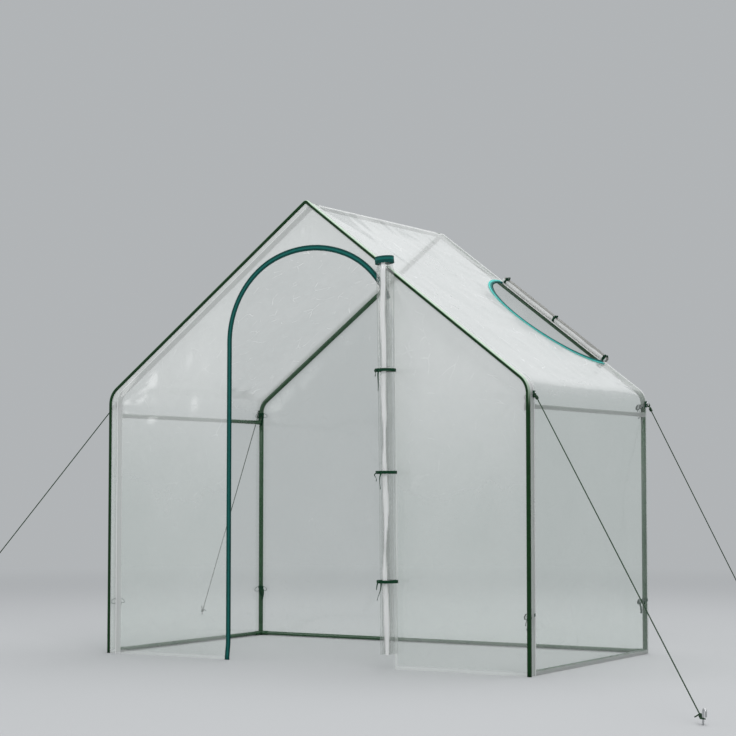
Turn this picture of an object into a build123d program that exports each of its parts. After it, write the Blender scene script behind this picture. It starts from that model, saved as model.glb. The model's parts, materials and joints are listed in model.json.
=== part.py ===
from build123d import *
import math
import os

os.makedirs("parts", exist_ok=True)

# Walk-in tunnel greenhouse with a gable roof: a push-together steel tube frame under a clear film cover.
# Millimetres. +Z is up, -Y is the front with the doorway, and the origin is on the ground at the plan centre.

# Tube frame, measured between tube centres
frame_width = 1778.0
frame_depth = 983.0
front_frame_y = -475.0
eave_height = 989.0
ridge_height = 1671.0
rail_drop = 74.0
eave_bend_radius = 65.0
post_diameter = 19.0
rail_diameter = 16.0
tube_wall = 1.0

# Joints that push into the tubes
joint_drop = 34.0
joint_rise = 14.0
ridge_joint_arm = 70.0
branch_diameter = 18.0
branch_length = 26.0
plug_length = 38.0
rafter_plug_length = 24.0
plug_clearance = 0.2
butt_clearance = 0.3
foot_height = 45.0
foot_branch_length = 30.0

# Film cover
film_thickness = 1.5
film_clearance = 0.3
front_overhang = 43.2
piping_reach = 4.6
piping_cover = 6.4
piping_wrap = 9.0
piping_thickness = 3.4
piping_edge_radius = 1.2
trim_clearance = 0.2

# Doorway and its zip
door_left_x = -335.0
door_right_x = 375.0
door_haunch_inset = 30.0
door_crown_flattening = 80.0
door_roof_gap = 36.4
zip_lap = 12.0
zip_lip = 8.0
zip_tape_thickness = 1.6
zip_bead_width = 6.0
zip_bead_height = 1.8

# Door flap, rolled up beside the doorway
door_roll_radius = 37.0
door_roll_top_x = 357.0
door_roll_foot_x = 372.0
door_roll_bottom = 55.0
door_roll_drop = 54.0
door_roll_waist = 1.0
door_tie_heights = (308.0, 690.0, 1050.0)
strap_width = 25.0
strap_thickness = 1.8
strap_drop = 14.0
strap_tilt = 5.0
strap_slack = 1.2
roll_neck_radius = 31.0
roll_neck_length = 34.0
roll_shoulder_length = 12.0

# Roof vent on the right-hand slope, measured down the slope from the ridge line
vent_centre = 648.0
vent_half_length = 275.0
vent_depth = 300.0
vent_hinge_inset = 30.0
vent_zip_lap = 8.0
vent_zip_lip = 8.0
vent_roll_radius = 13.5
vent_roll_offset = 15.0
vent_roll_overrun = 12.0
vent_roll_waist = 2.6
vent_tie_inset = 20.0

# Ties, ropes and pegs, with how far each peg stands out from its post along X and Y
tie_width = 11.0
tie_thickness = 1.4
tie_clearance = 0.3
waist_length = 34.0
low_tie_height = 205.0
high_tie_drop = 38.0
tab_height = 24.0
tab_width = 20.0
tab_thickness = 1.2
tab_drop = 21.0
ring_hole_radius = 5.0
ring_bar = 3.0
ring_thickness = 2.4
rope_diameter = 4.0
rope_loop_radius = 5.2
rope_loop_width = 4.6
link_clearance = 0.3
peg_diameter = 6.0
peg_height = 34.0
peg_hook_radius = 9.0
peg_hook_drop = 12.0
peg_tie_height = 15.0
peg_reaches = {
    "front_left": (526.0, 526.0),
    "front_right": (974.0, 950.0),
    "rear_left": (974.0, 917.0),
    "rear_right": (373.0, 364.0),
}

post_radius = post_diameter / 2
rail_radius = rail_diameter / 2
half_width = frame_width / 2
rear_frame_y = front_frame_y + frame_depth
rail_height = eave_height - rail_drop
slope_angle = math.atan2(ridge_height - eave_height, half_width)
eave_turn = math.pi / 2 - slope_angle
eave_tangent = eave_bend_radius * math.tan(eave_turn / 2)
eave_bend_start = eave_height - eave_tangent
branch_radius = branch_diameter / 2
post_top = rail_height - joint_drop
rafter_foot = rail_height + joint_rise
film_inside = post_radius + film_clearance
film_outside = film_inside + film_thickness
front_face_y = front_frame_y - front_overhang - film_thickness
front_sheet_back_y = front_face_y + film_thickness
rear_sheet_front_y = rear_frame_y + film_inside
rear_face_y = rear_sheet_front_y + film_thickness
past_x = frame_width
past_z = 2 * ridge_height
slope_down = Vector(math.cos(slope_angle), 0, -math.sin(slope_angle))
slope_out = Vector(math.sin(slope_angle), 0, math.cos(slope_angle))
frame_line_y = {"front": front_frame_y, "rear": rear_frame_y}
side_sign = {"left": -1, "right": 1}
inward_y = {"front": 1, "rear": -1}


def save(shape, name):
    export_step(shape, f"parts/{name}.step")


def rod(start, end, radius):
    start = Vector(*start)
    end = Vector(*end)
    along = end - start
    return extrude(Plane(origin=start, z_dir=along) * Circle(radius), along.length)


def ring(centre, axis, inner, outer, width):
    middle = Vector(*centre)
    along = Vector(*axis).normalized()
    place = Plane(origin=middle - along * width / 2, z_dir=along)
    return extrude(place * (Circle(outer) - Circle(inner)), width)


def straight_tube(start, end, radius):
    return rod(start, end, radius) - rod(start, end, radius - tube_wall)


def plug(start, direction, tube_radius, length=plug_length):
    end = Vector(*start) + Vector(*direction).normalized() * length
    radius = tube_radius - tube_wall - plug_clearance
    return rod(start, (end.X, end.Y, end.Z), radius)


def house_outline(grow):
    """Closed outline of the frame's gable, with every straight line moved out by grow."""
    half = half_width + grow
    top = ridge_height + grow / math.cos(slope_angle)
    corner = top - half * math.tan(slope_angle)
    outline = Polyline((-half, 0), (-half, corner), (0, top), (half, corner), (half, 0), close=True)
    face = make_face(outline)
    eaves = face.vertices().group_by(Axis.Y)[1]
    face = fillet(eaves, eave_bend_radius + grow)
    apex = face.vertices().sort_by(Axis.Y)[-1]
    return fillet(apex, grow)


def upright_slab(outline, y_from, y_to):
    place = Plane(origin=(0, y_to, 0), x_dir=(1, 0, 0), z_dir=(0, -1, 0))
    return extrude(place * outline, y_to - y_from)


def house_slab(grow, y_from, y_to):
    return upright_slab(house_outline(grow), y_from, y_to)


def block(x_range, y_range, z_range):
    size = [high - low for low, high in (x_range, y_range, z_range)]
    middle = [(low + high) / 2 for low, high in (x_range, y_range, z_range)]
    return Pos(*middle) * Box(*size)


# Doorway: a wide crown arc that runs into a tighter haunch arc at each side.
# The right-hand haunch stays door_roof_gap below the frame's roof line.
door_centre_x = (door_left_x + door_right_x) / 2
door_half_width = (door_right_x - door_left_x) / 2
door_haunch_radius = door_half_width - door_haunch_inset
door_crown_radius = door_haunch_radius + door_crown_flattening
haunch_rise = math.sqrt(door_crown_flattening ** 2 - door_haunch_inset ** 2)
haunch_lean = math.atan2(door_haunch_inset, haunch_rise)
haunch_roof_height = ridge_height - (door_centre_x + door_haunch_inset) * math.tan(slope_angle)
door_spring = haunch_roof_height - (door_haunch_radius + door_roof_gap) / math.cos(slope_angle)
crown_centre_height = door_spring - haunch_rise
door_crown_height = crown_centre_height + door_crown_radius


def door_outline(grow, foot=0.0):
    """Doorway from its foot to its crown, with its edge moved out by grow."""
    half = door_half_width + grow
    crown = door_crown_radius + grow
    haunch = door_haunch_radius + grow
    top = crown_centre_height + crown
    touch_x = crown * math.sin(haunch_lean)
    touch_z = crown_centre_height + crown * math.cos(haunch_lean)
    mid_haunch = (math.pi / 2 + haunch_lean) / 2
    side_x = door_haunch_inset + haunch * math.sin(mid_haunch)
    side_z = door_spring + haunch * math.cos(mid_haunch)
    edges = [
        Line((-half, foot), (-half, door_spring)),
        ThreePointArc((-half, door_spring), (-side_x, side_z), (-touch_x, touch_z)),
        ThreePointArc((-touch_x, touch_z), (0, top), (touch_x, touch_z)),
        ThreePointArc((touch_x, touch_z), (side_x, side_z), (half, door_spring)),
        Line((half, door_spring), (half, foot)),
        Line((half, foot), (-half, foot)),
    ]
    return Pos(door_centre_x, 0) * make_face(edges)


def door_slab(grow, y_from, y_to, foot=0.0):
    return upright_slab(door_outline(grow, foot), y_from, y_to)


# Posts, feet and eave joints
def post(side, end):
    x = side_sign[side] * half_width
    y = frame_line_y[end]
    return straight_tube((x, y, foot_height), (x, y, post_top - butt_clearance), post_radius)


def foot(side, end):
    x = side_sign[side] * half_width
    y = frame_line_y[end]
    body = rod((x, y, 0), (x, y, foot_height - butt_clearance), post_radius)
    body += plug((x, y, foot_height - butt_clearance), (0, 0, 1), post_radius)
    branches = [(0, inward_y[end], 0)]
    if end == "rear":
        branches.append((-side_sign[side], 0, 0))
    for direction in branches:
        away = Vector(*direction)
        start = Vector(x, y, post_radius)
        tip = start + away * (post_radius + foot_branch_length)
        body += rod((start.X, start.Y, start.Z), (tip.X, tip.Y, tip.Z), branch_radius)
        body += plug((tip.X, tip.Y, tip.Z), direction, rail_radius)
    return body


def eave_joint(side, end):
    x = side_sign[side] * half_width
    y = frame_line_y[end]
    body = rod((x, y, post_top), (x, y, rafter_foot - butt_clearance), post_radius)
    body += plug((x, y, post_top), (0, 0, -1), post_radius)
    body += plug((x, y, rafter_foot - butt_clearance), (0, 0, 1), post_radius, rafter_plug_length)
    tip_y = y + inward_y[end] * (post_radius + branch_length)
    body += rod((x, y, rail_height), (x, tip_y, rail_height), branch_radius)
    body += plug((x, tip_y, rail_height), (0, inward_y[end], 0), rail_radius)
    return body


# Bent rafters and ridge joints
def rafter(side, end):
    sign = side_sign[side]
    y = frame_line_y[end]
    start = (sign * half_width, y, rafter_foot)
    corner = (sign * half_width, y, eave_height)
    run = half_width - (ridge_joint_arm + butt_clearance) * math.cos(slope_angle)
    tip = (sign * (half_width - run), y, eave_height + run * math.tan(slope_angle))
    path = FilletPolyline(start, corner, tip, radius=eave_bend_radius)
    section = Plane(origin=start, z_dir=(0, 0, 1)) * (Circle(post_radius) - Circle(post_radius - tube_wall))
    return sweep(section, path=path)


def ridge_joint(end):
    y = frame_line_y[end]
    arm_x = ridge_joint_arm * math.cos(slope_angle)
    arm_z = ridge_height - ridge_joint_arm * math.sin(slope_angle)
    left_tip = (-arm_x, y, arm_z)
    right_tip = (arm_x, y, arm_z)
    apex = (0, y, ridge_height)
    body = rod(left_tip, apex, post_radius) + rod(right_tip, apex, post_radius)
    body += Pos(*apex) * Sphere(post_radius)
    body += plug(left_tip, (-slope_down.X, 0, slope_down.Z), post_radius)
    body += plug(right_tip, (slope_down.X, 0, slope_down.Z), post_radius)
    tip_y = y + inward_y[end] * (post_radius + branch_length)
    body += rod(apex, (0, tip_y, ridge_height), branch_radius)
    body += plug((0, tip_y, ridge_height), (0, inward_y[end], 0), rail_radius)
    return body


def rail(x, height, branch):
    start_y = front_frame_y + post_radius + branch + butt_clearance
    end_y = rear_frame_y - post_radius - branch - butt_clearance
    return straight_tube((x, start_y, height), (x, end_y, height), rail_radius)


def rear_ground_rail():
    reach = half_width - post_radius - foot_branch_length - butt_clearance
    return straight_tube((-reach, rear_frame_y, post_radius), (reach, rear_frame_y, post_radius), rail_radius)


for end in ("front", "rear"):
    for side in ("left", "right"):
        save(post(side, end), f"{end}_{side}_post")
        save(foot(side, end), f"{end}_{side}_foot")
        save(eave_joint(side, end), f"{end}_{side}_eave_joint")
        save(rafter(side, end), f"{end}_{side}_rafter")
    save(ridge_joint(end), f"{end}_ridge_joint")

save(rail(0, ridge_height, branch_length), "ridge_pole")
for side in ("left", "right"):
    save(rail(side_sign[side] * half_width, rail_height, branch_length), f"{side}_eave_rail")
    save(rail(side_sign[side] * half_width, post_radius, foot_branch_length), f"{side}_ground_rail")
save(rear_ground_rail(), "rear_ground_rail")


# Film cover
def side_shell(side):
    """Cover over one side, from the ground to the ridge line."""
    outer = house_slab(film_outside, front_sheet_back_y, rear_sheet_front_y)
    inner = house_slab(film_inside, front_sheet_back_y, rear_sheet_front_y)
    x_range = (-past_x, 0) if side == "left" else (0, past_x)
    return (outer - inner) & block(x_range, (front_sheet_back_y, rear_sheet_front_y), (0, past_z))


def side_wall(side):
    return side_shell(side) & block((-past_x, past_x), (front_face_y, rear_face_y), (0, eave_bend_start))


def roof_slope(side):
    return side_shell(side) & block((-past_x, past_x), (front_face_y, rear_face_y), (eave_bend_start, past_z))


roof_line_height = ridge_height + film_outside / math.cos(slope_angle)
roof_plane = Plane(origin=(0, 0, roof_line_height), x_dir=slope_down, z_dir=slope_out)
vent_hinge_y = rear_frame_y - vent_hinge_inset
vent_roll_y = vent_hinge_y + vent_roll_offset


def vent_outline(grow):
    """Half ellipse on the roof plane with its straight side at the hinge."""
    oval = Ellipse(vent_half_length + grow, vent_depth + grow)
    reach = vent_half_length + vent_depth
    front_half = Rectangle(2 * reach, reach, align=(Align.CENTER, Align.MAX))
    return Pos(vent_centre, vent_hinge_y) * (oval & front_half)


def vent_slab(grow, low, high):
    return extrude(roof_plane.offset(low) * vent_outline(grow), high - low)


def front_sheet():
    sheet = house_slab(film_outside, front_face_y, front_sheet_back_y)
    reach = front_overhang
    return sheet - door_slab(0, front_face_y - reach, front_sheet_back_y + reach, -reach)


def front_part(x_range, z_range):
    return front_sheet() & block(x_range, (front_face_y, front_sheet_back_y), z_range)


save(front_part((-past_x, door_left_x), (0, eave_bend_start)), "front_wall_left")
save(front_part((door_right_x, past_x), (0, eave_bend_start)), "front_wall_right")
save(front_part((-past_x, past_x), (eave_bend_start, past_z)), "front_gable")
save(house_slab(film_outside, rear_sheet_front_y, rear_face_y), "rear_wall")
save(side_wall("left"), "left_wall")
save(side_wall("right"), "right_wall")
save(roof_slope("left"), "left_roof")
save(roof_slope("right") - vent_slab(0, -film_thickness - trim_clearance, trim_clearance), "right_roof")


# Piping bound over the front edge of the cover
def front_piping():
    front_y = front_face_y - trim_clearance - piping_thickness
    outer = film_outside + trim_clearance + piping_reach
    body = house_slab(outer, front_y, front_face_y + piping_wrap)
    body -= house_slab(film_outside + trim_clearance, front_face_y - trim_clearance, front_face_y + piping_wrap)
    body -= house_slab(film_outside - piping_cover, front_y, front_face_y)
    front_face = body.faces().sort_by(Axis.Y)[0]
    rims = front_face.edges().filter_by(Axis.X, reverse=True)
    return fillet(rims, piping_edge_radius)


save(front_piping(), "front_piping")


# Zips, each a tape lapped on the film with a raised bead along its free edge
def door_zip():
    back_y = front_face_y - trim_clearance
    tape_y = back_y - zip_tape_thickness
    tape = door_slab(zip_lap, tape_y, back_y) - door_slab(-zip_lip, tape_y, back_y)
    bead_y = tape_y - zip_bead_height
    bead = door_slab(zip_bead_width / 2, bead_y, tape_y) - door_slab(-zip_bead_width / 2, bead_y, tape_y)
    hinge_x = door_right_x - zip_lip - trim_clearance
    hinge_side = block((hinge_x, past_x), (bead_y, front_face_y), (0, door_spring))
    return tape + bead - hinge_side


def vent_zip():
    low = trim_clearance
    high = low + zip_tape_thickness
    tape = vent_slab(vent_zip_lap, low, high) - vent_slab(-vent_zip_lip, low, high)
    bead_top = high + zip_bead_height
    bead = vent_slab(zip_bead_width / 2, high, bead_top) - vent_slab(-zip_bead_width / 2, high, bead_top)
    return tape + bead


save(door_zip(), "door_zip")
save(vent_zip(), "vent_zip")


# Rolled flaps, drawn in where a tie holds them
def roll_profile(waist, places, end_points):
    """Half section of a roll along +Y, with a waist at each place and end_points past the last of them."""
    half = waist_length / 2
    radius = end_points[0][0]
    length = end_points[-1][1]
    here = (radius, 0)
    edges = [Line((0, 0), here)]
    for place in places:
        entry = (radius, place - half)
        middle = (radius - waist, place)
        leave = (radius, place + half)
        edges.append(Line(here, entry))
        edges.append(ThreePointArc(entry, middle, leave))
        here = leave
    for point in (*end_points, (0, length), (0, 0)):
        edges.append(Line(here, point))
        here = point
    return make_face(edges)


def roll(foot, along, waist, places, end_points):
    across = Vector(0, 1, 0)
    place = Plane(origin=foot, x_dir=across, z_dir=across.cross(along))
    return revolve(place * roll_profile(waist, places, end_points), Axis(foot, along), 360)


zip_height = trim_clearance + zip_tape_thickness + zip_bead_height
door_roll_y = front_face_y - zip_height - tie_clearance - door_roll_radius
door_roll_foot = Vector(door_roll_foot_x, door_roll_y, door_roll_bottom)
door_roll_top = door_crown_height - door_roll_drop
door_roll_end = Vector(door_roll_top_x, door_roll_y, door_roll_top)
door_roll_along = (door_roll_end - door_roll_foot).normalized()
door_roll_length = (door_roll_end - door_roll_foot).length
door_tie_places = [height - door_roll_bottom for height in door_tie_heights]
vent_roll_length = 2 * (vent_half_length + vent_roll_overrun)
vent_roll_lift = tie_clearance + vent_roll_radius
vent_roll_start = roof_plane.from_local_coords(
    (vent_centre - vent_half_length - vent_roll_overrun, vent_roll_y, vent_roll_lift)
)
vent_tie_places = [vent_tie_inset, vent_roll_length / 2, vent_roll_length - vent_tie_inset]


def door_roll():
    neck_start = door_roll_length - roll_neck_length
    shoulder = (door_roll_radius, neck_start - roll_shoulder_length)
    end_points = (shoulder, (roll_neck_radius, neck_start), (roll_neck_radius, door_roll_length))
    return roll(door_roll_foot, door_roll_along, door_roll_waist, door_tie_places, end_points)


def vent_roll():
    end_points = [(vent_roll_radius, vent_roll_length)]
    return roll(vent_roll_start, slope_down, vent_roll_waist, vent_tie_places, end_points)


def roll_ties():
    bands = []
    for place in door_tie_places:
        centre = door_roll_foot + door_roll_along * place
        inner = door_roll_radius - door_roll_waist + tie_clearance * 2
        bands.append(ring(centre, door_roll_along, inner, inner + tie_thickness, tie_width))
    for place in vent_tie_places:
        centre = vent_roll_start + slope_down * place
        inner = vent_roll_radius - vent_roll_waist + tie_clearance * 2
        bands.append(ring(centre, slope_down, inner, inner + tie_thickness, tie_width))
    return Compound(bands)


def door_roll_strap():
    """End of the zip tape, wound a little askew round the neck of the rolled flap."""
    centre = door_roll_end - door_roll_along * strap_drop
    axis = door_roll_along.rotate(Axis.Y, -strap_tilt)
    inner = roll_neck_radius / math.cos(math.radians(strap_tilt)) + trim_clearance + strap_slack
    return ring(centre, axis, inner, inner + strap_thickness, strap_width)


save(door_roll(), "door_roll")
save(vent_roll(), "vent_roll")
save(roll_ties(), "roll_ties")
save(door_roll_strap(), "door_roll_strap")


# Tapes that hold the cover to the posts, open where they are sewn to the film
def cover_tie(side, end, height):
    sign = side_sign[side]
    x = sign * half_width
    y = frame_line_y[end]
    inner = post_radius + tie_clearance
    band = ring((x, y, height), (0, 0, 1), inner, inner + tie_thickness, tie_width)
    film_x = x + sign * (film_inside - trim_clearance)
    reach = x + sign * post_diameter
    z_range = (height - tie_width, height + tie_width)
    band -= block((min(film_x, reach), max(film_x, reach)), (y - post_diameter, y + post_diameter), z_range)
    if end == "rear":
        film_y = y + film_inside - trim_clearance
        band -= block((x - post_diameter, x + post_diameter), (film_y, y + post_diameter), z_range)
    return band.solids().sort_by(SortBy.VOLUME)[-1]


post_tie_heights = (low_tie_height, eave_height - high_tie_drop)
cover_ties = []
for end in ("front", "rear"):
    for side in ("left", "right"):
        cover_ties += [cover_tie(side, end, height) for height in post_tie_heights]
save(Compound(cover_ties), "cover_ties")


# Guy ropes: each is linked to a ring on a tab at an eave corner and looped round a peg
tab_back_x = half_width + film_outside + trim_clearance
tab_top = eave_height - tab_drop
ring_radius = ring_hole_radius + ring_bar


def tab_centre(side, end):
    x = side_sign[side] * (tab_back_x + tab_thickness / 2)
    return Vector(x, frame_line_y[end], tab_top - tab_height / 2)


def peg_place(side, end, height=0.0):
    reach_x, reach_y = peg_reaches[f"{end}_{side}"]
    x = side_sign[side] * (half_width + reach_x)
    return Vector(x, frame_line_y[end] - inward_y[end] * reach_y, height)


def rope_heading(side, end):
    """Level unit direction from the tab to the peg."""
    centre = tab_centre(side, end)
    return (peg_place(side, end, centre.Z) - centre).normalized()


def ring_centre(side, end):
    return tab_centre(side, end) + rope_heading(side, end) * ring_radius


def guy_tab(side, end):
    tab = Pos(tab_centre(side, end)) * Box(tab_thickness, tab_width, tab_height)
    across = rope_heading(side, end).cross(Vector(0, 0, 1))
    return tab + ring(ring_centre(side, end), across, ring_hole_radius, ring_radius, ring_thickness)


def cord_loop(centre, axis, radius):
    return ring(centre, axis, radius - rope_diameter / 2, radius + rope_diameter / 2, rope_loop_width)


def guy_rope(side, end):
    heading = rope_heading(side, end)
    hole = ring_centre(side, end)
    peg_centre = peg_place(side, end, peg_tie_height)
    pull = (peg_centre - hole).normalized()
    cord_radius = rope_diameter / 2
    hole_reach = math.sqrt((ring_hole_radius - link_clearance) ** 2 - (rope_loop_width / 2) ** 2)
    loop_centre = hole + pull * (hole_reach - cord_radius + rope_loop_radius)
    peg_loop_radius = peg_diameter / 2 + trim_clearance + cord_radius
    start = loop_centre + pull * rope_loop_radius
    finish = peg_centre - heading * peg_loop_radius
    loop_axis = pull.cross(heading.cross(Vector(0, 0, 1)))
    line = rod(start, finish, cord_radius)
    line += cord_loop(loop_centre, loop_axis, rope_loop_radius)
    return line + cord_loop(peg_centre, (0, 0, 1), peg_loop_radius)


def ground_peg(side, end):
    """The part of a hooked wire peg that stands above the ground, its hook turned away from the rope."""
    away = rope_heading(side, end)
    base = peg_place(side, end)
    shoulder = base + Vector(0, 0, peg_height)
    crown = shoulder + away * peg_hook_radius + Vector(0, 0, peg_hook_radius)
    turn = shoulder + away * peg_hook_radius * 2
    tip = turn - Vector(0, 0, peg_hook_drop)
    path = Line(base, shoulder) + ThreePointArc(shoulder, crown, turn) + Line(turn, tip)
    return sweep(Plane(origin=base, z_dir=(0, 0, 1)) * Circle(peg_diameter / 2), path=path)


tabs = []
pegs = []
for end in ("front", "rear"):
    for side in ("left", "right"):
        save(guy_rope(side, end), f"{end}_{side}_guy_rope")
        tabs += guy_tab(side, end).solids()
        pegs += ground_peg(side, end).solids()
save(Compound(tabs), "guy_tabs")
save(Compound(pegs), "ground_pegs")
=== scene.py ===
import json
import math
import bisect
import random
import bpy
import bmesh
from mathutils import Matrix, Vector, noise

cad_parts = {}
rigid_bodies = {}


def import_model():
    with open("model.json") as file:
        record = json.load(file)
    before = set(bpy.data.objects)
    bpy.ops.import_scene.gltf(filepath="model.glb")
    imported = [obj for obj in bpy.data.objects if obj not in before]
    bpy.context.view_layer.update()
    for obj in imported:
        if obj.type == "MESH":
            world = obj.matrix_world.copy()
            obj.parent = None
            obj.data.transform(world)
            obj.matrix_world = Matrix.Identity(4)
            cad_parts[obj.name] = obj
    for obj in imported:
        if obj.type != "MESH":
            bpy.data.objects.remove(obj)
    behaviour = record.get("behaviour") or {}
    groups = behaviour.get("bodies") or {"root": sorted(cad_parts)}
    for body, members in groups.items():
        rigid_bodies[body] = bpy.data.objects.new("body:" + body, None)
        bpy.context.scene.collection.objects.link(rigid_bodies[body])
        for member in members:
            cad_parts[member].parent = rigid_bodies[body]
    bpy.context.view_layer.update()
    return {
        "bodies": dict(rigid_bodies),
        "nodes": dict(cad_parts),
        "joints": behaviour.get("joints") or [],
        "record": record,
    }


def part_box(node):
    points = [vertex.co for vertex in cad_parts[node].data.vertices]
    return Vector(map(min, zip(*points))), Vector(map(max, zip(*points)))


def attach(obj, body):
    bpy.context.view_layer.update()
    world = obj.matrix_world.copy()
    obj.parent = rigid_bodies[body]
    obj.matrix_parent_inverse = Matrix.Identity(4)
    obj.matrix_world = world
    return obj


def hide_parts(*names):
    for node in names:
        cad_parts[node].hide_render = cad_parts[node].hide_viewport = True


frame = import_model()
scene = bpy.context.scene
bpy.ops.object.select_all(action="DESELECT")
print("frame loaded")


def middleOf(node):
    low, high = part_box(node)
    return (low + high) / 2


# What the pieces below are placed from, in metres, mostly read from the frame
house = {
    "halfWidth": middleOf("front_right_post").x,
    "frontY": middleOf("front_right_post").y,
    "rearY": middleOf("rear_right_post").y,
    "ridgeZ": middleOf("ridge_pole").z,
    "eaveZ": 0.989,          # where post and rafter lines would meet
    "bendRadius": 0.065,     # of the bent rafters, at the tube's centre
    "tubeRadius": 0.0095,
    "railRadius": 0.008,
    "railZ": middleOf("right_eave_rail").z,
    "tabZ": 0.956,           # of the tabs that the guy ropes pull on
    "filmGrow": 0.0104,      # film's surface, out from the tubes' centre line
    "faceY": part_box("front_gable")[0].y,
    "rearFaceY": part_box("rear_wall")[1].y,
}
house["slope"] = math.atan2(house["ridgeZ"] - house["eaveZ"], house["halfWidth"])
house["bendZ"] = house["eaveZ"] - house["bendRadius"] * math.tan((math.pi / 2 - house["slope"]) / 2)
slopeDown = Vector((math.cos(house["slope"]), 0, -math.sin(house["slope"])))
slopeOut = Vector((math.sin(house["slope"]), 0, math.cos(house["slope"])))
across = Vector((0, 1, 0))
up = Vector((0, 0, 1))
ends = {"front": house["frontY"], "rear": house["rearY"]}
sides = {"left": -1, "right": 1}


# Small helpers for meshes
def smoothStep(low, high, value):
    share = min(1, max(0, (value - low) / (high - low)))
    return share * share * (3 - 2 * share)


def aimed(first, second, angle):
    # a direction in the plane of two others
    return first * math.cos(angle) + second * math.sin(angle)


def lengthsAlong(points):
    # how far along its path each point lies
    lengths = [0]
    for first, second in zip(points, points[1:]):
        lengths.append(lengths[-1] + (second - first).length)
    return lengths


def sided(vector, sign):
    # the same on the left-hand side, -1, or on the right, 1
    return Vector((sign * vector.x, vector.y, vector.z))


def camelName(words):
    first, *others = words.split("_")
    return first + "".join(word.capitalize() for word in others)


def meshPiece(name, points, faces, uvs=None):
    mesh = bpy.data.meshes.new(name)
    mesh.from_pydata(points, [], faces)
    if uvs:
        layer = mesh.uv_layers.new(name="UVMap")
        for loop in mesh.loops:
            layer.data[loop.index].uv = uvs[loop.vertex_index]
    mesh.shade_smooth()
    mesh.update()
    piece = bpy.data.objects.new(name, mesh)
    scene.collection.objects.link(piece)
    return piece


def gridPiece(name, rows, uvRows=None, around=False, capped=False):
    # rows of points joined by quads; around closes each row on itself
    width = len(rows[0])
    points = [point for row in rows for point in row]
    faces = []
    for i in range(len(rows) - 1):
        for j in range(width if around else width - 1):
            k = (j + 1) % width
            faces.append((i * width + j, i * width + k, (i + 1) * width + k, (i + 1) * width + j))
    if capped:
        faces.append(tuple(reversed(range(width))))
        faces.append(tuple(range((len(rows) - 1) * width, len(rows) * width)))
    uvs = [uv for row in uvRows for uv in row] if uvRows else None
    return meshPiece(name, points, faces, uvs)


def pointValues(piece, name, values):
    # a value for each of a piece's points, which its material reads
    data = piece.data.attributes.new(name, "FLOAT", "POINT").data
    for point, value in zip(data, values):
        point.value = value


def outwards(piece):
    mesh = bmesh.new()
    mesh.from_mesh(piece.data)
    bmesh.ops.remove_doubles(mesh, verts=mesh.verts, dist=1e-6)
    bmesh.ops.recalc_face_normals(mesh, faces=mesh.faces)
    mesh.to_mesh(piece.data)
    mesh.free()
    return piece


def joined(name, pieces):
    bpy.ops.object.select_all(action="DESELECT")
    for piece in pieces:
        piece.select_set(True)
    bpy.context.view_layer.objects.active = pieces[0]
    if len(pieces) > 1:
        bpy.ops.object.join()
    result = bpy.context.view_layer.objects.active
    result.name = name
    result.data.name = name
    bpy.ops.object.transform_apply(location=True, rotation=True, scale=True)
    bpy.ops.object.select_all(action="DESELECT")
    return result


def finished(piece, material, slot, *stoodFor):
    piece.data.materials.clear()
    piece.data.materials.append(material)
    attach(piece, "root")
    if stoodFor:
        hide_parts(*stoodFor)
    return piece


def frameAlong(points):
    # a steady side direction for each point of a path
    frames = []
    side = None
    for i, point in enumerate(points):
        ahead = points[min(i + 1, len(points) - 1)]
        behind = points[max(i - 1, 0)]
        along = (ahead - behind).normalized()
        if side is None:
            side = along.orthogonal().normalized()
        side = (side - along * side.dot(along)).normalized()
        frames.append((along, side, along.cross(side)))
    return frames


def tubeAlong(name, points, radius, sides):
    angles = [2 * math.pi * k / sides for k in range(sides)]
    rows = []
    uvRows = []
    for point, length, (along, side, other) in zip(points, lengthsAlong(points), frameAlong(points)):
        rows.append([point + aimed(side, other, angle) * radius for angle in angles])
        uvRows.append([(length, radius * angle) for angle in angles])
    return gridPiece(name, rows, uvRows, around=True, capped=True)


def tapeSection(width, thickness, rounding=4):
    # closed outline of a flat tape with rounded edges, across first and thickness second
    half = width / 2 - thickness / 2
    outline = []
    for side, first in ((1, 0.5), (-1, 1.5)):
        for k in range(rounding + 1):
            angle = math.pi * (first - k / rounding)
            outline.append((side * half + math.cos(angle) * thickness / 2, math.sin(angle) * thickness / 2))
    return outline


def tapeAlong(name, points, flats, width, thickness, closed=False):
    # flats: the direction across the tape's width at each point
    section = tapeSection(width, thickness)
    path = points + points[:1] if closed else points
    rows = []
    for i, point in enumerate(points):
        ahead = path[min(i + 1, len(path) - 1)]
        behind = points[i - 1] if closed or i else point
        along = (ahead - behind).normalized()
        wide = (flats[i] - along * flats[i].dot(along)).normalized()
        face = along.cross(wide)
        rows.append([point + wide * a + face * b for a, b in section])
    if closed:
        rows.append(list(rows[0]))
    uvRows = [[(length, a) for a, b in section] for length in lengthsAlong(path)]
    return outwards(gridPiece(name, rows, uvRows, around=True, capped=not closed))


# Shader nodes: a tree is the pair of its nodes and links
def feed(tree, node, inputs):
    # each input is a value or another node's output
    for key, value in inputs.items():
        if isinstance(value, bpy.types.NodeSocket):
            tree[1].new(value, node.inputs[key])
        elif node.inputs[key].type == "RGBA":
            node.inputs[key].default_value = (*value, 1)
        else:
            node.inputs[key].default_value = value


def added(tree, kind, inputs=None, **settings):
    node = tree[0].new("ShaderNode" + kind)
    for key, value in settings.items():
        setattr(node, key, value)
    feed(tree, node, inputs or {})
    return node


def calc(tree, operation, *values, clamp=False):
    return added(tree, "Math", dict(enumerate(values)), operation=operation, use_clamp=clamp).outputs[0]


def ranged(tree, value, fromLow, fromHigh, toLow=0, toHigh=1, kind="LINEAR"):
    return added(tree, "MapRange", {
        "Value": value, "From Min": fromLow, "From Max": fromHigh, "To Min": toLow, "To Max": toHigh,
    }, interpolation_type=kind).outputs["Result"]


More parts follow.
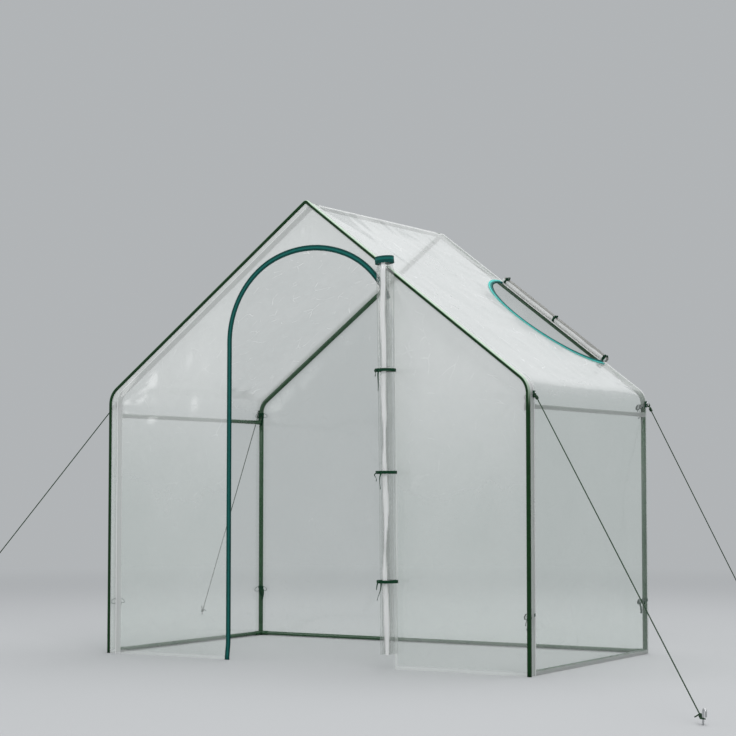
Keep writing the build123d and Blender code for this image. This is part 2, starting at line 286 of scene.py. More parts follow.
def noiseOf(tree, place, scale, detail, roughness=0.5, result="Fac"):
    inputs = {"Vector": place, "Scale": scale, "Detail": detail, "Roughness": roughness}
    return added(tree, "TexNoise", inputs).outputs[result]


def objectPlace(tree):
    return added(tree, "TexCoord").outputs["Object"]


def tapePlace(tree):
    return added(tree, "UVMap", uv_map="UVMap").outputs["UV"]


def splitOf(tree, place):
    return added(tree, "SeparateXYZ", {0: place}).outputs


def attributeOf(tree, name):
    return added(tree, "Attribute", attribute_name=name).outputs["Fac"]


def mixColours(tree, share, first, second):
    return added(tree, "Mix", {"Factor": share, "A": first, "B": second}, data_type="RGBA").outputs["Result"]


def mixShaders(tree, share, first, second):
    return added(tree, "MixShader", {0: share, 1: first, 2: second}).outputs[0]


def bumpFrom(tree, height, strength, distance):
    return added(tree, "Bump", {"Height": height, "Strength": strength, "Distance": distance}).outputs["Normal"]


def bandsOf(tree, places, bands):
    # strips at a steady place: (which of the places, centre, half width, soft edge, density)
    strongest = 0
    for axis, centre, half, soft, density in bands:
        away = calc(tree, "ABSOLUTE", calc(tree, "SUBTRACT", places[axis], centre))
        strongest = calc(tree, "MAXIMUM", strongest, ranged(tree, away, half, half + soft, density, 0))
    return strongest


# Node groups shared by the materials
def groupOf(name, inputs, outputs, build):
    # build adds the nodes and gives the outputs' sources in order
    group = bpy.data.node_groups.new(name, "ShaderNodeTree")
    for label in inputs:
        group.interface.new_socket(label, in_out="INPUT", socket_type="NodeSocketFloat")
    for label in outputs:
        group.interface.new_socket(label, in_out="OUTPUT", socket_type="NodeSocketFloat")
    given = group.nodes.new("NodeGroupInput").outputs
    results = group.nodes.new("NodeGroupOutput").inputs
    for label, source in zip(outputs, build((group.nodes, group.links), given)):
        group.links.new(source, results[label])
    return group


def crinkleNodes(tree, given):
    # soft waves, sharp creases and scuffs of clear film that was folded in its pack
    place = objectPlace(tree)
    bend = noiseOf(tree, place, 3.5, 2, result="Color")
    shift = {0: bend, 1: (0.34, 0.34, 0.34), 2: place}
    bent = added(tree, "VectorMath", shift, operation="MULTIPLY_ADD").outputs[0]
    lines = []
    finer = calc(tree, "MULTIPLY", given["Fine"], 2.7)
    for scale, width, strength in ((given["Fine"], 0.028, 1), (finer, 0.035, 0.12)):
        cells = added(tree, "TexVoronoi", {"Vector": bent, "Scale": scale}, feature="DISTANCE_TO_EDGE")
        lines.append(ranged(tree, cells.outputs["Distance"], 0, width, strength, 0))
    patches = ranged(tree, noiseOf(tree, place, 6.5, 5, 0.65), 0.4, 0.6)
    # only short creases are left of the cells' edges
    broken = ranged(tree, noiseOf(tree, place, 19, 3), 0.5, 0.6)
    crease = calc(tree, "MULTIPLY", calc(tree, "ADD", *lines), calc(tree, "MULTIPLY", patches, broken))
    height = calc(tree, "MULTIPLY_ADD", crease, 0.07, noiseOf(tree, place, given["Coarse"], 2, 0.4))
    return height, crease, ranged(tree, noiseOf(tree, place, 3.2, 6, 0.62), 0.35, 0.72)


def weaveNodes(tree, given):
    # over-and-under threads, from a map in metres
    place = tapePlace(tree)
    split = splitOf(tree, place)
    leaned = calc(tree, "ADD", split["X"], calc(tree, "MULTIPLY", split["Y"], given["Slant"]))
    waves = [calc(tree, "SINE", calc(tree, "MULTIPLY", at, given["Threads"])) for at in (leaned, split["Y"])]
    height = calc(tree, "MULTIPLY_ADD", calc(tree, "MULTIPLY", *waves), 0.5, 0.5)
    return height, calc(tree, "MULTIPLY_ADD", height, 0.35, noiseOf(tree, place, 60, 3))


def coatNodes(tree, given):
    # powder coat: a fine orange peel, with dust that lies thinly on it
    place = objectPlace(tree)
    dust = ranged(tree, noiseOf(tree, place, 14, 7, 0.65), 0.42, 0.8)
    return noiseOf(tree, place, given["Grain"], 2), dust


crinkleGroup = groupOf("filmCrinkle", ("Coarse", "Fine"), ("Height", "Crease", "Scuff"), crinkleNodes)
weaveGroup = groupOf("tapeWeave", ("Threads", "Slant"), ("Height", "Shade"), weaveNodes)
coatGroup = groupOf("powderCoat", ("Grain",), ("Height", "Dust"), coatNodes)


def grouped(tree, group, **values):
    return added(tree, "Group", values, node_tree=group).outputs


def materialOf(name):
    material = bpy.data.materials.new(name)
    material.use_nodes = True
    nodes = material.node_tree.nodes
    return material, (nodes, material.node_tree.links), nodes["Principled BSDF"]


def coatedMaterial(name, look):
    material, tree, shader = materialOf(name)
    coat = grouped(tree, coatGroup, Grain=look["grain"])
    feed(tree, shader, {
        "Base Color": mixColours(tree, coat["Dust"], look["clean"], look["dusty"]),
        "Normal": bumpFrom(tree, coat["Height"], look["bump"], look["bumpDepth"]),
        **look["surface"],
    })
    if "dull" in look:
        feed(tree, shader, {"Roughness": ranged(tree, coat["Dust"], 0, 1, look["gloss"], look["dull"])})
    return material


fabric = {"slant": 1.0, "sheen": 0.02, "sheenRoughness": 0.5, "bump": 0.6, "depth": 0.0002}


def fabricMaterial(name, look):
    material, tree, shader = materialOf(name)
    look = {**fabric, **look}
    weave = grouped(tree, weaveGroup, Threads=look["threads"], Slant=look["slant"])
    colour = mixColours(tree, weave["Shade"], look["deep"], look["light"])
    # painted highlight: a lighter strip along the tape, in its second colour
    if "line" in look:
        along = bandsOf(tree, splitOf(tree, tapePlace(tree)), [look["line"]])
        colour = mixColours(tree, along, colour, look["second"])
    elif "second" in look:
        # painted highlight: a pale second colour on the piping's outer face along the slopes, wider on the
        # right
        colour = mixColours(tree, attributeOf(tree, "lap"), colour, look["second"])
    feed(tree, shader, {
        "Base Color": colour, "Roughness": look["roughness"], "Specular IOR Level": look["specular"],
        "Sheen Weight": look["sheen"], "Sheen Roughness": look["sheenRoughness"],
        "Normal": bumpFrom(tree, weave["Height"], look["bump"], look["depth"]),
    })
    return material


def hemBands(tree, split, look):
    # strips inside the left half of the gable's outline
    wide = calc(tree, "ABSOLUTE", split["X"])
    sideways = calc(tree, "SUBTRACT", wide, house["halfWidth"] + house["filmGrow"])
    ridge = -house["ridgeZ"] * slopeOut.z - house["filmGrow"] - look["hemShift"]
    rising = calc(tree, "MULTIPLY_ADD", split["Z"], slopeOut.z, ridge)
    slanted = calc(tree, "MULTIPLY_ADD", wide, slopeOut.x, rising)
    inside = calc(tree, "SMOOTH_MAX", sideways, slanted, 0.03)
    left = calc(tree, "LESS_THAN", split["X"], 0)
    return calc(tree, "MULTIPLY", bandsOf(tree, {"inside": inside}, look["hems"]), left)


def frameBands(tree, split, look):
    # strips over the tubes, others on the roof than on the walls
    onRoof = ranged(tree, split["Z"], 0.95, 1.0, kind="SMOOTHSTEP")
    walls = bandsOf(tree, split, look["wallBands"])
    return added(tree, "Mix", {
        "Factor": onRoof, "A": walls, "B": bandsOf(tree, split, look["roofBands"]),
    }).outputs["Result"]


def filmMaterial(name, look):
    # clear film: see-through, with a white veil that is denser high up, under a thin gloss
    material, tree, shader = materialOf(name)
    crinkle = grouped(tree, crinkleGroup, Coarse=look["coarse"], Fine=look["fine"])
    split = splitOf(tree, objectPlace(tree))
    # the seam attribute: doubled film on the sheets, and on the rolls a painted highlight streak
    seam = attributeOf(tree, "seam")
    height = ranged(
        tree, split["Z"], look["hazeFrom"], look["hazeTo"], look["hazeLow"], look["hazeHigh"], "SMOOTHSTEP",
    )
    scuffed = calc(tree, "MULTIPLY_ADD", crinkle["Scuff"], look["scuff"], height)
    creasing = calc(tree, "MULTIPLY_ADD", height, look["creaseHigh"], look["creaseHaze"])
    haze = calc(tree, "MULTIPLY_ADD", crinkle["Crease"], creasing, scuffed, clamp=True)
    haze = calc(tree, "MAXIMUM", calc(tree, "MULTIPLY", seam, look["seamAndPaintedHighlightHaze"]), haze)
    if "hems" in look:
        haze = calc(tree, "MAXIMUM", hemBands(tree, split, look), haze)
    if "roofBands" in look:
        haze = calc(tree, "MAXIMUM", frameBands(tree, split, look), haze)
    # painted shade: where the painted highlight is missing, the rolled film takes a darker colour
    white = mixColours(tree, seam, look["shade"], look["veil"]) if "shade" in look else look["veil"]
    normal = bumpFrom(tree, crinkle["Height"], look["bump"], look["bumpDepth"])
    feed(tree, shader, {"Base Color": white, "Roughness": look["roughness"], "Normal": normal})
    behind = added(tree, "BsdfTranslucent", {"Color": white}).outputs[0]
    veil = mixShaders(tree, look["through"], shader.outputs[0], behind)
    clear = added(tree, "BsdfTransparent", {"Color": look["tint"]}).outputs[0]
    # Layer Weight is the same from both sides of the film, unlike Fresnel
    facing = added(tree, "LayerWeight", {"Blend": 0.5, "Normal": normal}).outputs["Facing"]
    steep = calc(tree, "MULTIPLY_ADD", calc(tree, "POWER", facing, 5), 1 - look["shine"], look["shine"])
    gloss = added(tree, "BsdfPrincipled", {
        "Base Color": (1, 1, 1), "Metallic": 1, "Roughness": look["gloss"], "Normal": normal,
    }).outputs[0]
    body = mixShaders(tree, haze, clear, veil)
    surface = mixShaders(tree, calc(tree, "MINIMUM", steep, look["mostShine"]), body, gloss)
    feed(tree, tree[0]["Material Output"], {"Surface": surface})
    return material


greenTube = coatedMaterial("greenTube", {
    "clean": (0.012, 0.062, 0.02), "dusty": (0.022, 0.078, 0.032), "gloss": 0.26, "dull": 0.4,
    "grain": 900.0, "bump": 0.12, "bumpDepth": 0.0003, "surface": {"Specular IOR Level": 0.6},
})
pegZinc = coatedMaterial("pegZinc", {
    "clean": (0.56, 0.57, 0.58), "dusty": (0.36, 0.36, 0.35),
    "grain": 1500.0, "bump": 0.3, "bumpDepth": 0.0004, "surface": {"Metallic": 1, "Roughness": 0.35},
})
# second: the pale colour of the painted highlight on the piping's outer face
pipingTape = fabricMaterial("greenPiping", {
    "deep": (0.0005, 0.009, 0.0016), "light": (0.0014, 0.042, 0.005), "second": (0.5, 0.64, 0.5),
    "threads": 5200.0, "slant": 0.0, "roughness": 0.5, "specular": 0.16, "sheen": 0.01,
})
# line and second: a painted highlight along one side of the rib
zipTape = fabricMaterial("tealZipTape", {
    "deep": (0.0006, 0.022, 0.02), "light": (0.0015, 0.08, 0.068), "second": (0.006, 0.17, 0.145),
    "line": ("Y", 0.002, 0.002, 0.0025, 0.6), "threads": 5600.0, "roughness": 0.65, "specular": 0.15,
})
# painted light: a brighter copy of the zip's teal, as if lit from above, with a painted highlight band in
# second along its outer part
ventTapePaintedLight = fabricMaterial("tealVentTapePaintedLight", {
    "deep": (0.001, 0.06, 0.055), "light": (0.003, 0.17, 0.155), "second": (0.085, 0.6, 0.54),
    "line": ("Y", 0.0088, 0.004, 0.001, 1), "threads": 5600.0, "roughness": 0.6, "specular": 0.2,
})
zipThread = fabricMaterial("tealThread", {
    "deep": (0.0004, 0.014, 0.014), "light": (0.001, 0.06, 0.054),
    "threads": 9000.0, "roughness": 0.45, "specular": 0.3, "depth": 0.0001,
})
tieTape = fabricMaterial("greenTieTape", {
    "deep": (0.001, 0.014, 0.006), "light": (0.003, 0.05, 0.02),
    "threads": 5000.0, "slant": 0.6, "roughness": 0.75, "specular": 0.15,
})
ropeFibre = fabricMaterial("greenRopeFibre", {
    "deep": (0.006, 0.018, 0.008), "light": (0.02, 0.06, 0.025),
    "threads": 9000.0, "slant": 0.8, "roughness": 0.75, "specular": 0.2, "sheen": 0.05, "depth": 0.00015,
})
wallFilm = {
    "hazeFrom": 0.9, "hazeTo": 1.04, "hazeLow": 0.05, "hazeHigh": 0.42,
    "scuff": 0.1, "creaseHaze": 0.06, "creaseHigh": 0.8, "coarse": 4.0, "fine": 9.0,
    "tint": (0.952, 0.982, 0.96), "veil": (0.92, 0.92, 0.912), "roughness": 0.4, "through": 0.4,
    "seamAndPaintedHighlightHaze": 0.9, "shine": 0.06, "mostShine": 0.4, "gloss": 0.1, "bump": 0.5, "bumpDepth": 0.006,
}
overBands = {
    # the doubled strip from the piping to the front rafter, the rear edge and the ridge
    "roofBands": [
        ("Y", house["frontY"] - 0.0165, 0.0265, 0.003, 0.95),
        ("Y", house["rearY"] + 0.0065, 0.0055, 0.001, 0.95),
        ("X", 0.0, 0.012, 0.005, 0.9),
    ],
    # film that lies on the posts, rails and the ground hem
    "wallBands": [
        ("Y", house["frontY"] - 0.017, 0.0265, 0.001, 0.5),
        # a painted highlight: a nearly white veil line along each front post
        ("Y", house["frontY"] + 0.0042, 0.004, 0.0014, 0.95),
        ("Y", house["rearY"] + 0.005, 0.0068, 0.001, 0.42),
        ("Z", house["railZ"], 0.0085, 0.0015, 0.46),
        ("Z", 0.0, 0.012, 0.008, 0.5),
    ],
}
overFilm = filmMaterial("clearFilmOver", {**wallFilm, **overBands})
frontFilm = filmMaterial("clearFilmFront", {
    **wallFilm, "hazeFrom": 0.45, "hazeTo": 1.15, "hazeLow": 0.15, "hazeHigh": 0.6,
    "creaseHaze": 0.035, "creaseHigh": 0.14, "hemShift": 0.012,
    # the hem over the left post and, nearer to the edge, over its rafter, with a bright line along it that is a
    # painted highlight
    "hems": [("inside", -0.0468, 0.0112, 0.0015, 0.66), ("inside", -0.0338, 0.0013, 0.0012, 0.97)],
})
rearFilm = filmMaterial("clearFilmRear", {
    **wallFilm, "hazeFrom": 0.8, "hazeTo": 1.3, "hazeLow": 0.05, "hazeHigh": 0.12,
})
rollFilm = filmMaterial("rolledFilm", {
    **wallFilm, "hazeLow": 0.035, "hazeHigh": 0.035, "scuff": 0.03, "coarse": 7.0, "fine": 12.0,
    "creaseHaze": 0.05, "creaseHigh": 0, "bumpDepth": 0.0015, "tint": (0.93, 0.935, 0.93),
    "seamAndPaintedHighlightHaze": 0.97, "shine": 0.04, "mostShine": 0.12,
})
ventFilm = filmMaterial("rolledVentFilm", {
    **wallFilm, "hazeLow": 0.62, "hazeHigh": 0.62, "scuff": 0.02, "coarse": 14.0, "fine": 24.0,
    "creaseHaze": 0.02, "creaseHigh": 0, "bumpDepth": 0.0002, "tint": (0.9, 0.905, 0.89),
    "shade": (0.34, 0.34, 0.32), "seamAndPaintedHighlightHaze": 0.97, "shine": 0.02, "mostShine": 0.04, "gloss": 0.3,
})
print("materials made")

# Steel frame: each tube's ring of points is extruded along its runs and spun round its bends
tubes = {
    "sides": 40, "endRound": 0.0006, "footHeight": 0.045, "jointLow": 0.881, "jointHigh": 0.929,
    "branchRadius": 0.009, "branchReach": 0.0355, "footReach": 0.0395, "ridgeArm": 0.070, "gap": 0.0003,
    "rails": (
        "ridge_pole", "left_eave_rail", "right_eave_rail",
        "left_ground_rail", "right_ground_rail", "rear_ground_rail",
    ),
}


def bentTube(name, start, heading, radius, runs):
    # runs: a vector to extrude by, or (centre, axis, angle) to turn by
    turned = heading.to_track_quat("Z", "Y").to_euler()
    bpy.ops.object.select_all(action="DESELECT")
    bpy.ops.mesh.primitive_circle_add(
        vertices=tubes["sides"], radius=radius, fill_type="NGON", location=start, rotation=turned
    )
    piece = bpy.context.object
    piece.name = name
    bpy.ops.object.transform_apply(location=True, rotation=True, scale=True)
    bpy.ops.object.mode_set(mode="EDIT")
    bpy.ops.mesh.select_all(action="SELECT")
    for run in runs:
        if isinstance(run, Vector):
            bpy.ops.mesh.extrude_region_move(TRANSFORM_OT_translate={"value": run})
        else:
            centre, axis, angle = run
            bpy.ops.mesh.spin(steps=16, angle=angle, center=centre, axis=axis)
    bpy.ops.mesh.select_all(action="SELECT")
    bpy.ops.mesh.remove_doubles(threshold=1e-6)
    bpy.ops.mesh.normals_make_consistent(inside=False)
    bpy.ops.object.mode_set(mode="OBJECT")
    edge = piece.modifiers.new("roundedEnds", "BEVEL")
    edge.width = tubes["endRound"]
    edge.segments = 2
    edge.limit_method = "ANGLE"
    edge.angle_limit = math.radians(60)
    bpy.ops.object.modifier_apply(modifier=edge.name)
    bpy.ops.object.shade_smooth_by_angle(angle=math.radians(40))
    return piece


def straightTube(name, start, end, radius):
    return bentTube(name, start, (end - start).normalized(), radius, [end - start])


def branchTube(start, reach):
    return straightTube("branch", start, start + reach, tubes["branchRadius"])


def cornerTubes(end, sign, y, inward):
    # the pieces of one corner by their nodes' last words, from the ground to the ridge joint
    radius, bend, gap = house["tubeRadius"], house["bendRadius"], tubes["gap"]
    foot = Vector((sign * house["halfWidth"], y, 0))

    def upright(low, high):
        return straightTube("upright", foot + up * low, foot + up * high, radius)

    post = upright(tubes["footHeight"], tubes["jointLow"] - gap)
    low = foot + up * radius
    standing = [upright(0, tubes["footHeight"] - gap), branchTube(low, inward * tubes["footReach"])]
    if end == "rear":
        standing.append(branchTube(low, Vector((-sign * tubes["footReach"], 0, 0))))
    bendCentre = Vector((sign * (house["halfWidth"] - bend), y, house["bendZ"]))
    bendEnd = bendCentre + sided(slopeOut, sign) * bend
    tip = Vector((0, y, house["ridgeZ"])) + sided(slopeDown, sign) * (tubes["ridgeArm"] + gap)
    return {
        "post": [post],
        "foot": standing,
        "eave_joint": [
            upright(tubes["jointLow"], tubes["jointHigh"] - gap),
            branchTube(foot + up * house["railZ"], inward * tubes["branchReach"]),
        ],
        "rafter": [bentTube("rafter", foot + up * tubes["jointHigh"], up, radius, [
            up * (house["bendZ"] - tubes["jointHigh"]),
            (bendCentre, across, sign * (math.pi / 2 - house["slope"])),
            tip - bendEnd,
        ])],
    }


def makeFrame():
    for end, y in ends.items():
        inward = across if end == "front" else -across
        for side, sign in sides.items():
            for words, pieces in cornerTubes(end, sign, y, inward).items():
                piece = joined(camelName(words + "_" + end + "_" + side), pieces)
                finished(piece, greenTube, "green_tube", end + "_" + side + "_" + words)
        apex = Vector((0, y, house["ridgeZ"]))
        parts = []
        for sign in (-1, 1):
            arm = sided(slopeDown, sign) * tubes["ridgeArm"]
            parts.append(straightTube("arm", apex, apex + arm, house["tubeRadius"]))
        bpy.ops.mesh.primitive_uv_sphere_add(
            segments=40, ring_count=24, radius=house["tubeRadius"], location=apex,
        )
        bpy.ops.object.shade_smooth()
        parts.append(bpy.context.object)
        parts.append(branchTube(apex, inward * tubes["branchReach"]))
        finished(joined(camelName("ridge_joint_" + end), parts), greenTube, "green_tube", end + "_ridge_joint")
    for name in tubes["rails"]:
        low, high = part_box(name)
        middle = (low + high) / 2
        reach = (high - low) / 2
        reach = Vector((reach.x, 0, 0)) if name == "rear_ground_rail" else Vector((0, reach.y, 0))
        rail = straightTube(camelName(name), middle - reach, middle + reach, house["railRadius"])
        finished(rail, greenTube, "green_tube", name)


makeFrame()
print("steel frame made")


# The line round the gable that the cover, piping and seams follow
def outAt(angle):
    return Vector((math.cos(angle), 0, math.sin(angle)))


def houseFrames(step, bendStep):
    # (point at the tubes' centre, angle of its outward direction), from the right-hand ground over the ridge
    radius = house["bendRadius"]
    outTurn = math.pi / 2 - house["slope"]
    bendCentre = Vector((house["halfWidth"] - radius, 0, house["bendZ"]))
    ridge = Vector((0, 0, house["ridgeZ"]))
    bendEnd = bendCentre + slopeOut * radius
    frames = []

    def addLine(start, end, angle):
        count = max(1, round((end - start).length / step))
        frames.extend((start.lerp(end, i / count), angle) for i in range(count))

    addLine(Vector((house["halfWidth"], 0, 0)), Vector((house["halfWidth"], 0, house["bendZ"])), 0)
    count = max(4, round(outTurn * radius / bendStep))
    for i in range(count):
        angle = outTurn * i / count
        frames.append((bendCentre + outAt(angle) * radius, angle))
    addLine(bendEnd, ridge, outTurn)
    for i in range(5):
        frames.append((ridge, outTurn + (math.pi / 2 - outTurn) * i / 4))
    mirrored = [(Vector((-point.x, 0, point.z)), math.pi - angle) for point, angle in reversed(frames[:-1])]
    return frames + mirrored


class HouseLine:
    # the same line with its length, 0 at the ridge and positive to the right, at a distance out from the tubes
    def __init__(self, grow):
        self.frames = houseFrames(0.01, 0.004)
        self.points = [point + outAt(angle) * grow for point, angle in self.frames]
        lengths = lengthsAlong(self.points)
        middle = lengths[len(lengths) // 2]
        self.keys = [length - middle for length in lengths]

    def at(self, distance):
        key = -distance
        i = min(len(self.keys) - 2, max(0, bisect.bisect_right(self.keys, key) - 1))
        share = (key - self.keys[i]) / (self.keys[i + 1] - self.keys[i])
        angle = self.frames[i][1] + (self.frames[i + 1][1] - self.frames[i][1]) * share
        return self.points[i].lerp(self.points[i + 1], share), outAt(angle)


filmLine = HouseLine(house["filmGrow"])
overLength = filmLine.keys[-1]


def houseEdge(x, z, grow):
    # distance outside the gable's outline, negative inside it
    x = abs(x)
    radius = house["bendRadius"]
    toBend = Vector((x - house["halfWidth"] + radius, z - house["bendZ"]))
    outTurn = math.pi / 2 - house["slope"]
    angle = math.atan2(toBend.y, toBend.x)
    if 0 <= angle <= outTurn:
        return toBend.length - radius - grow
    sideways = x - house["halfWidth"] - grow
    slanted = x * slopeOut.x + (z - house["ridgeZ"]) * slopeOut.z - grow
    if x * slopeDown.x + (z - house["ridgeZ"]) * slopeDown.z < 0 and z > house["ridgeZ"]:
        slanted = math.hypot(x, z - house["ridgeZ"]) - grow
    return max(sideways, slanted, -z)


# Doorway outline
door = {
    "leftX": -0.335, "rightX": 0.375, "spring": 1.17714,
    "haunchInset": 0.03, "crownFlattening": 0.08,
}
door["middle"] = (door["leftX"] + door["rightX"]) / 2
door["half"] = (door["rightX"] - door["leftX"]) / 2
door["haunch"] = door["half"] - door["haunchInset"]
door["crown"] = door["haunch"] + door["crownFlattening"]
door["lean"] = math.asin(door["haunchInset"] / door["crownFlattening"])
door["crownZ"] = door["spring"] - door["crownFlattening"] * math.cos(door["lean"])


def doorEdge(x, z):
    # distance outside the doorway, negative in it
    x = abs(x - door["middle"])
    if z < door["spring"]:
        return x - door["half"]
    if math.atan2(x, z - door["crownZ"]) < door["lean"]:
        return math.hypot(x, z - door["crownZ"]) - door["crown"]
    return math.hypot(x - door["haunchInset"], z - door["spring"]) - door["haunch"]


def doorFrames(step):
    # (x, z, angle outwards) from the left foot over the arch to the right-hand spring
    found = []
    left = door["middle"] - door["half"]
    count = round(door["spring"] / step)
    for i in range(count):
        found.append((left, door["spring"] * i / count, math.pi))
    arcs = (
        (-door["haunchInset"], door["spring"], door["haunch"], math.pi, math.pi / 2 + door["lean"]),
        (0, door["crownZ"], door["crown"], math.pi / 2 + door["lean"], math.pi / 2 - door["lean"]),
        (door["haunchInset"], door["spring"], door["haunch"], math.pi / 2 - door["lean"], 0),
    )
    for x, z, radius, first, last in arcs:
        count = round(abs(first - last) * radius / step)
        for i in range(count):
            angle = first + (last - first) * i / count
            found.append((door["middle"] + x + radius * math.cos(angle), z + radius * math.sin(angle), angle))
    found.append((door["rightX"], door["spring"], 0))
    return found


# Roof vent, in distances down the slope from the ridge and back along the ridge
vent = {
    "centre": 0.648, "half": 0.275, "depth": 0.3, "hingeInset": 0.03,
    "filmLevel": 0.0113,     # CAD's roof surface out from the tubes' centre line
}
vent["hingeY"] = house["rearY"] - vent["hingeInset"]
vent["origin"] = Vector((0, 0, house["ridgeZ"] + vent["filmLevel"] / math.cos(house["slope"])))


def ventEdge(down, y):
    # distance outside the vent, negative in it
    a = (down - vent["centre"]) / vent["half"]
    b = (y - vent["hingeY"]) / vent["depth"]
    size = math.hypot(a, b)
    pull = math.hypot(a / vent["half"], b / vent["depth"])
    curved = (size - 1) * size / pull if pull > 1e-6 else -vent["half"]
    return max(curved, y - vent["hingeY"])


def onRoof(down, y, rise=0.0):
    point = vent["origin"] + slopeDown * down + slopeOut * rise
    return Vector((point.x, y, point.z))


# Film sheets: a grid that is trimmed to its outline, with its edge points moved onto it
trimming = {"reach": 0.56, "rounds": 3, "nudge": 1e-4, "merge": 2e-4, "sliver": 1e-5}


def ontoEdge(edge, u, v):
    # a grid point moved onto the outline, down the slope of its distance
    nudge = trimming["nudge"]
    for repeat in range(trimming["rounds"]):
        far = edge(u, v)
        slopeU = (edge(u + nudge, v) - edge(u - nudge, v)) / (2 * nudge)
        slopeV = (edge(u, v + nudge) - edge(u, v - nudge)) / (2 * nudge)
        size = max(slopeU * slopeU + slopeV * slopeV, 1e-6)
        u -= far * slopeU / size
        v -= far * slopeV / size
    return u, v


def filmPiece(name, spanU, spanV, step, edge, place, seam):
    countU = round((spanU[1] - spanU[0]) / step)
    countV = round((spanV[1] - spanV[0]) / step)
    points = []
    doubled = []
    kept = {}
    for i in range(countU + 1):
        for j in range(countV + 1):
            u = spanU[0] + (spanU[1] - spanU[0]) * i / countU
            v = spanV[0] + (spanV[1] - spanV[0]) * j / countV
            far = edge(u, v)
            if abs(far) < step * trimming["reach"]:
                u, v = ontoEdge(edge, u, v)
                u = min(spanU[1], max(spanU[0], u))
                v = min(spanV[1], max(spanV[0], v))
                far = 0
            if far <= 0:
                kept[i, j] = len(points)
                points.append(place(u, v))
                doubled.append(seam(u, v))
    faces = []
    for i in range(countU):
        for j in range(countV):
            corners = [kept.get(key) for key in ((i, j), (i + 1, j), (i + 1, j + 1), (i, j + 1))]
            corners = [corner for corner in corners if corner is not None]
            if len(corners) > 2:
                faces.append(tuple(corners))
    piece = meshPiece(name, points, faces)
    pointValues(piece, "seam", doubled)
    mesh = bmesh.new()
    mesh.from_mesh(piece.data)
    bmesh.ops.remove_doubles(mesh, verts=mesh.verts, dist=trimming["merge"])
    bmesh.ops.dissolve_degenerate(mesh, edges=mesh.edges, dist=trimming["sliver"])
    mesh.to_mesh(piece.data)
    mesh.free()
    piece.data.shade_smooth()
    return piece


def wave(x, y, z):
    return noise.noise(Vector((x, y, z)))


def fold(x, y, z):
    # a sharp crease instead of a round wave
    return 1 - 2 * abs(wave(x, y, z))


sheetY = {"front": house["faceY"] + 0.0008, "rear": house["rearFaceY"] - 0.0008}


def nearLine(distance, half, soft):
    return 1 - smoothStep(half, half + soft, abs(distance))


def seamAt(distance, seam):
    half, soft, density = seam
    return nearLine(distance, half, soft) * density


def pulls(x, y, anchors):
    # folds that run out from the places where the cover is held: (x, y, strength, number of folds)
    total = 0
    for k, (atX, atY, strength, folds) in enumerate(anchors):
        away = math.hypot(x - atX, y - atY)
        angle = math.atan2(y - atY, x - atX)
        fan = math.sin(folds * angle + 2 * wave(angle * 1.5 + k, away * 4, 2.7))
        fan += 0.5 * math.sin(folds * 1.7 * angle + k)
        total += strength * fan * smoothStep(0, 0.05, away) * math.exp(-away / 0.16)
    return total


overCover = {
    "step": 0.0105,
    "roofSag": 0.008,        # under its own weight between the front and rear rafters
    "wallSag": 0.003,
    "wrinkle": 0.0026,
    "crease": 0.0014,
    "pull": 0.0016,          # fan folds at the tabs, the ridge's ends and the vent's corners
    "dip": 0.0026,           # beside each tube that it is stretched over
    "dipReach": 0.015,
    "leastDip": 0.0006,      # as deep as it may lie right on a tube
    "ventSeam": (0.008, 0.006, 0.7),
}
tabDistance = overLength - house["tabZ"]
overAnchors = [(sign * tabDistance, y, 1, 9) for sign in (-1, 1) for y in ends.values()]
overAnchors += [(0, y, 0.8, 7) for y in ends.values()]
overAnchors += [(vent["centre"] + sign * (vent["half"] + 0.01), vent["hingeY"], 1.1, 8) for sign in (-1, 1)]


def overPlace(distance, y):
    point, out = filmLine.at(distance)
    span = min(1, max(0, (y - house["frontY"]) / (house["rearY"] - house["frontY"])))
    free = math.sin(math.pi * span)
    down = abs(distance)
    roofEnd = overLength - house["bendZ"]
    onSlope = smoothStep(0.01, 0.12, down) * (1 - smoothStep(roofEnd - 0.16, roofEnd - 0.02, down))
    onWall = smoothStep(roofEnd + 0.05, roofEnd + 0.2, down)
    sag = overCover["roofSag"] * onSlope * free + overCover["wallSag"] * onWall * free
    slack = min(1, free * 1.6) * max(onSlope, onWall, 0.35)
    ripple = wave(distance * 2.2, y * 13 + wave(distance * 3, y * 2, 4) * 2, 1.3)
    cross = wave(distance * 9, y * 4 + distance * 3, 7.1)
    fine = wave(distance * 21 + 3, y * 17, 5.9)
    crease = fold(distance * 5 + y * 2.5, y * 5 - distance * 2.5, 3.4) ** 3
    waves = overCover["wrinkle"] * (0.7 * ripple + 0.5 * cross + 0.3 * fine)
    lift = (waves + overCover["crease"] * crease) * slack
    lift += overCover["pull"] * pulls(distance, y, overAnchors)
    edgeCalm = smoothStep(0, 0.03, min(y - sheetY["front"], sheetY["rear"] - y))
    if distance > 0:
        near = max(0, ventEdge(distance, y))
        lift *= smoothStep(0.004, 0.05, near)
        sag *= smoothStep(-0.01, 0.09, near)
        edgeCalm *= smoothStep(0.004, 0.05, near)
    toTube = min(abs(y - house["frontY"]), abs(y - house["rearY"]))
    beside = 1 - math.exp(-(toTube / overCover["dipReach"]) ** 2)
    overhang = 1
    if y < house["frontY"]:
        overhang = math.sin(math.pi * max(0, (y - sheetY["front"]) / (house["frontY"] - sheetY["front"])))
    sag += overCover["dip"] * beside * overhang * edgeCalm * (1 - smoothStep(0.05, 0.2, toTube) * 0.6)
    if down > roofEnd:
        toTube = min(toTube, abs(point.z - house["railZ"]), max(0, point.z - house["tubeRadius"]))
    toTube = min(toTube, down)
    deepest = overCover["leastDip"] + 0.5 * max(0, toTube - 0.008)
    at = point + out * max(lift * edgeCalm - sag, -deepest)
    return Vector((at.x, y, at.z))


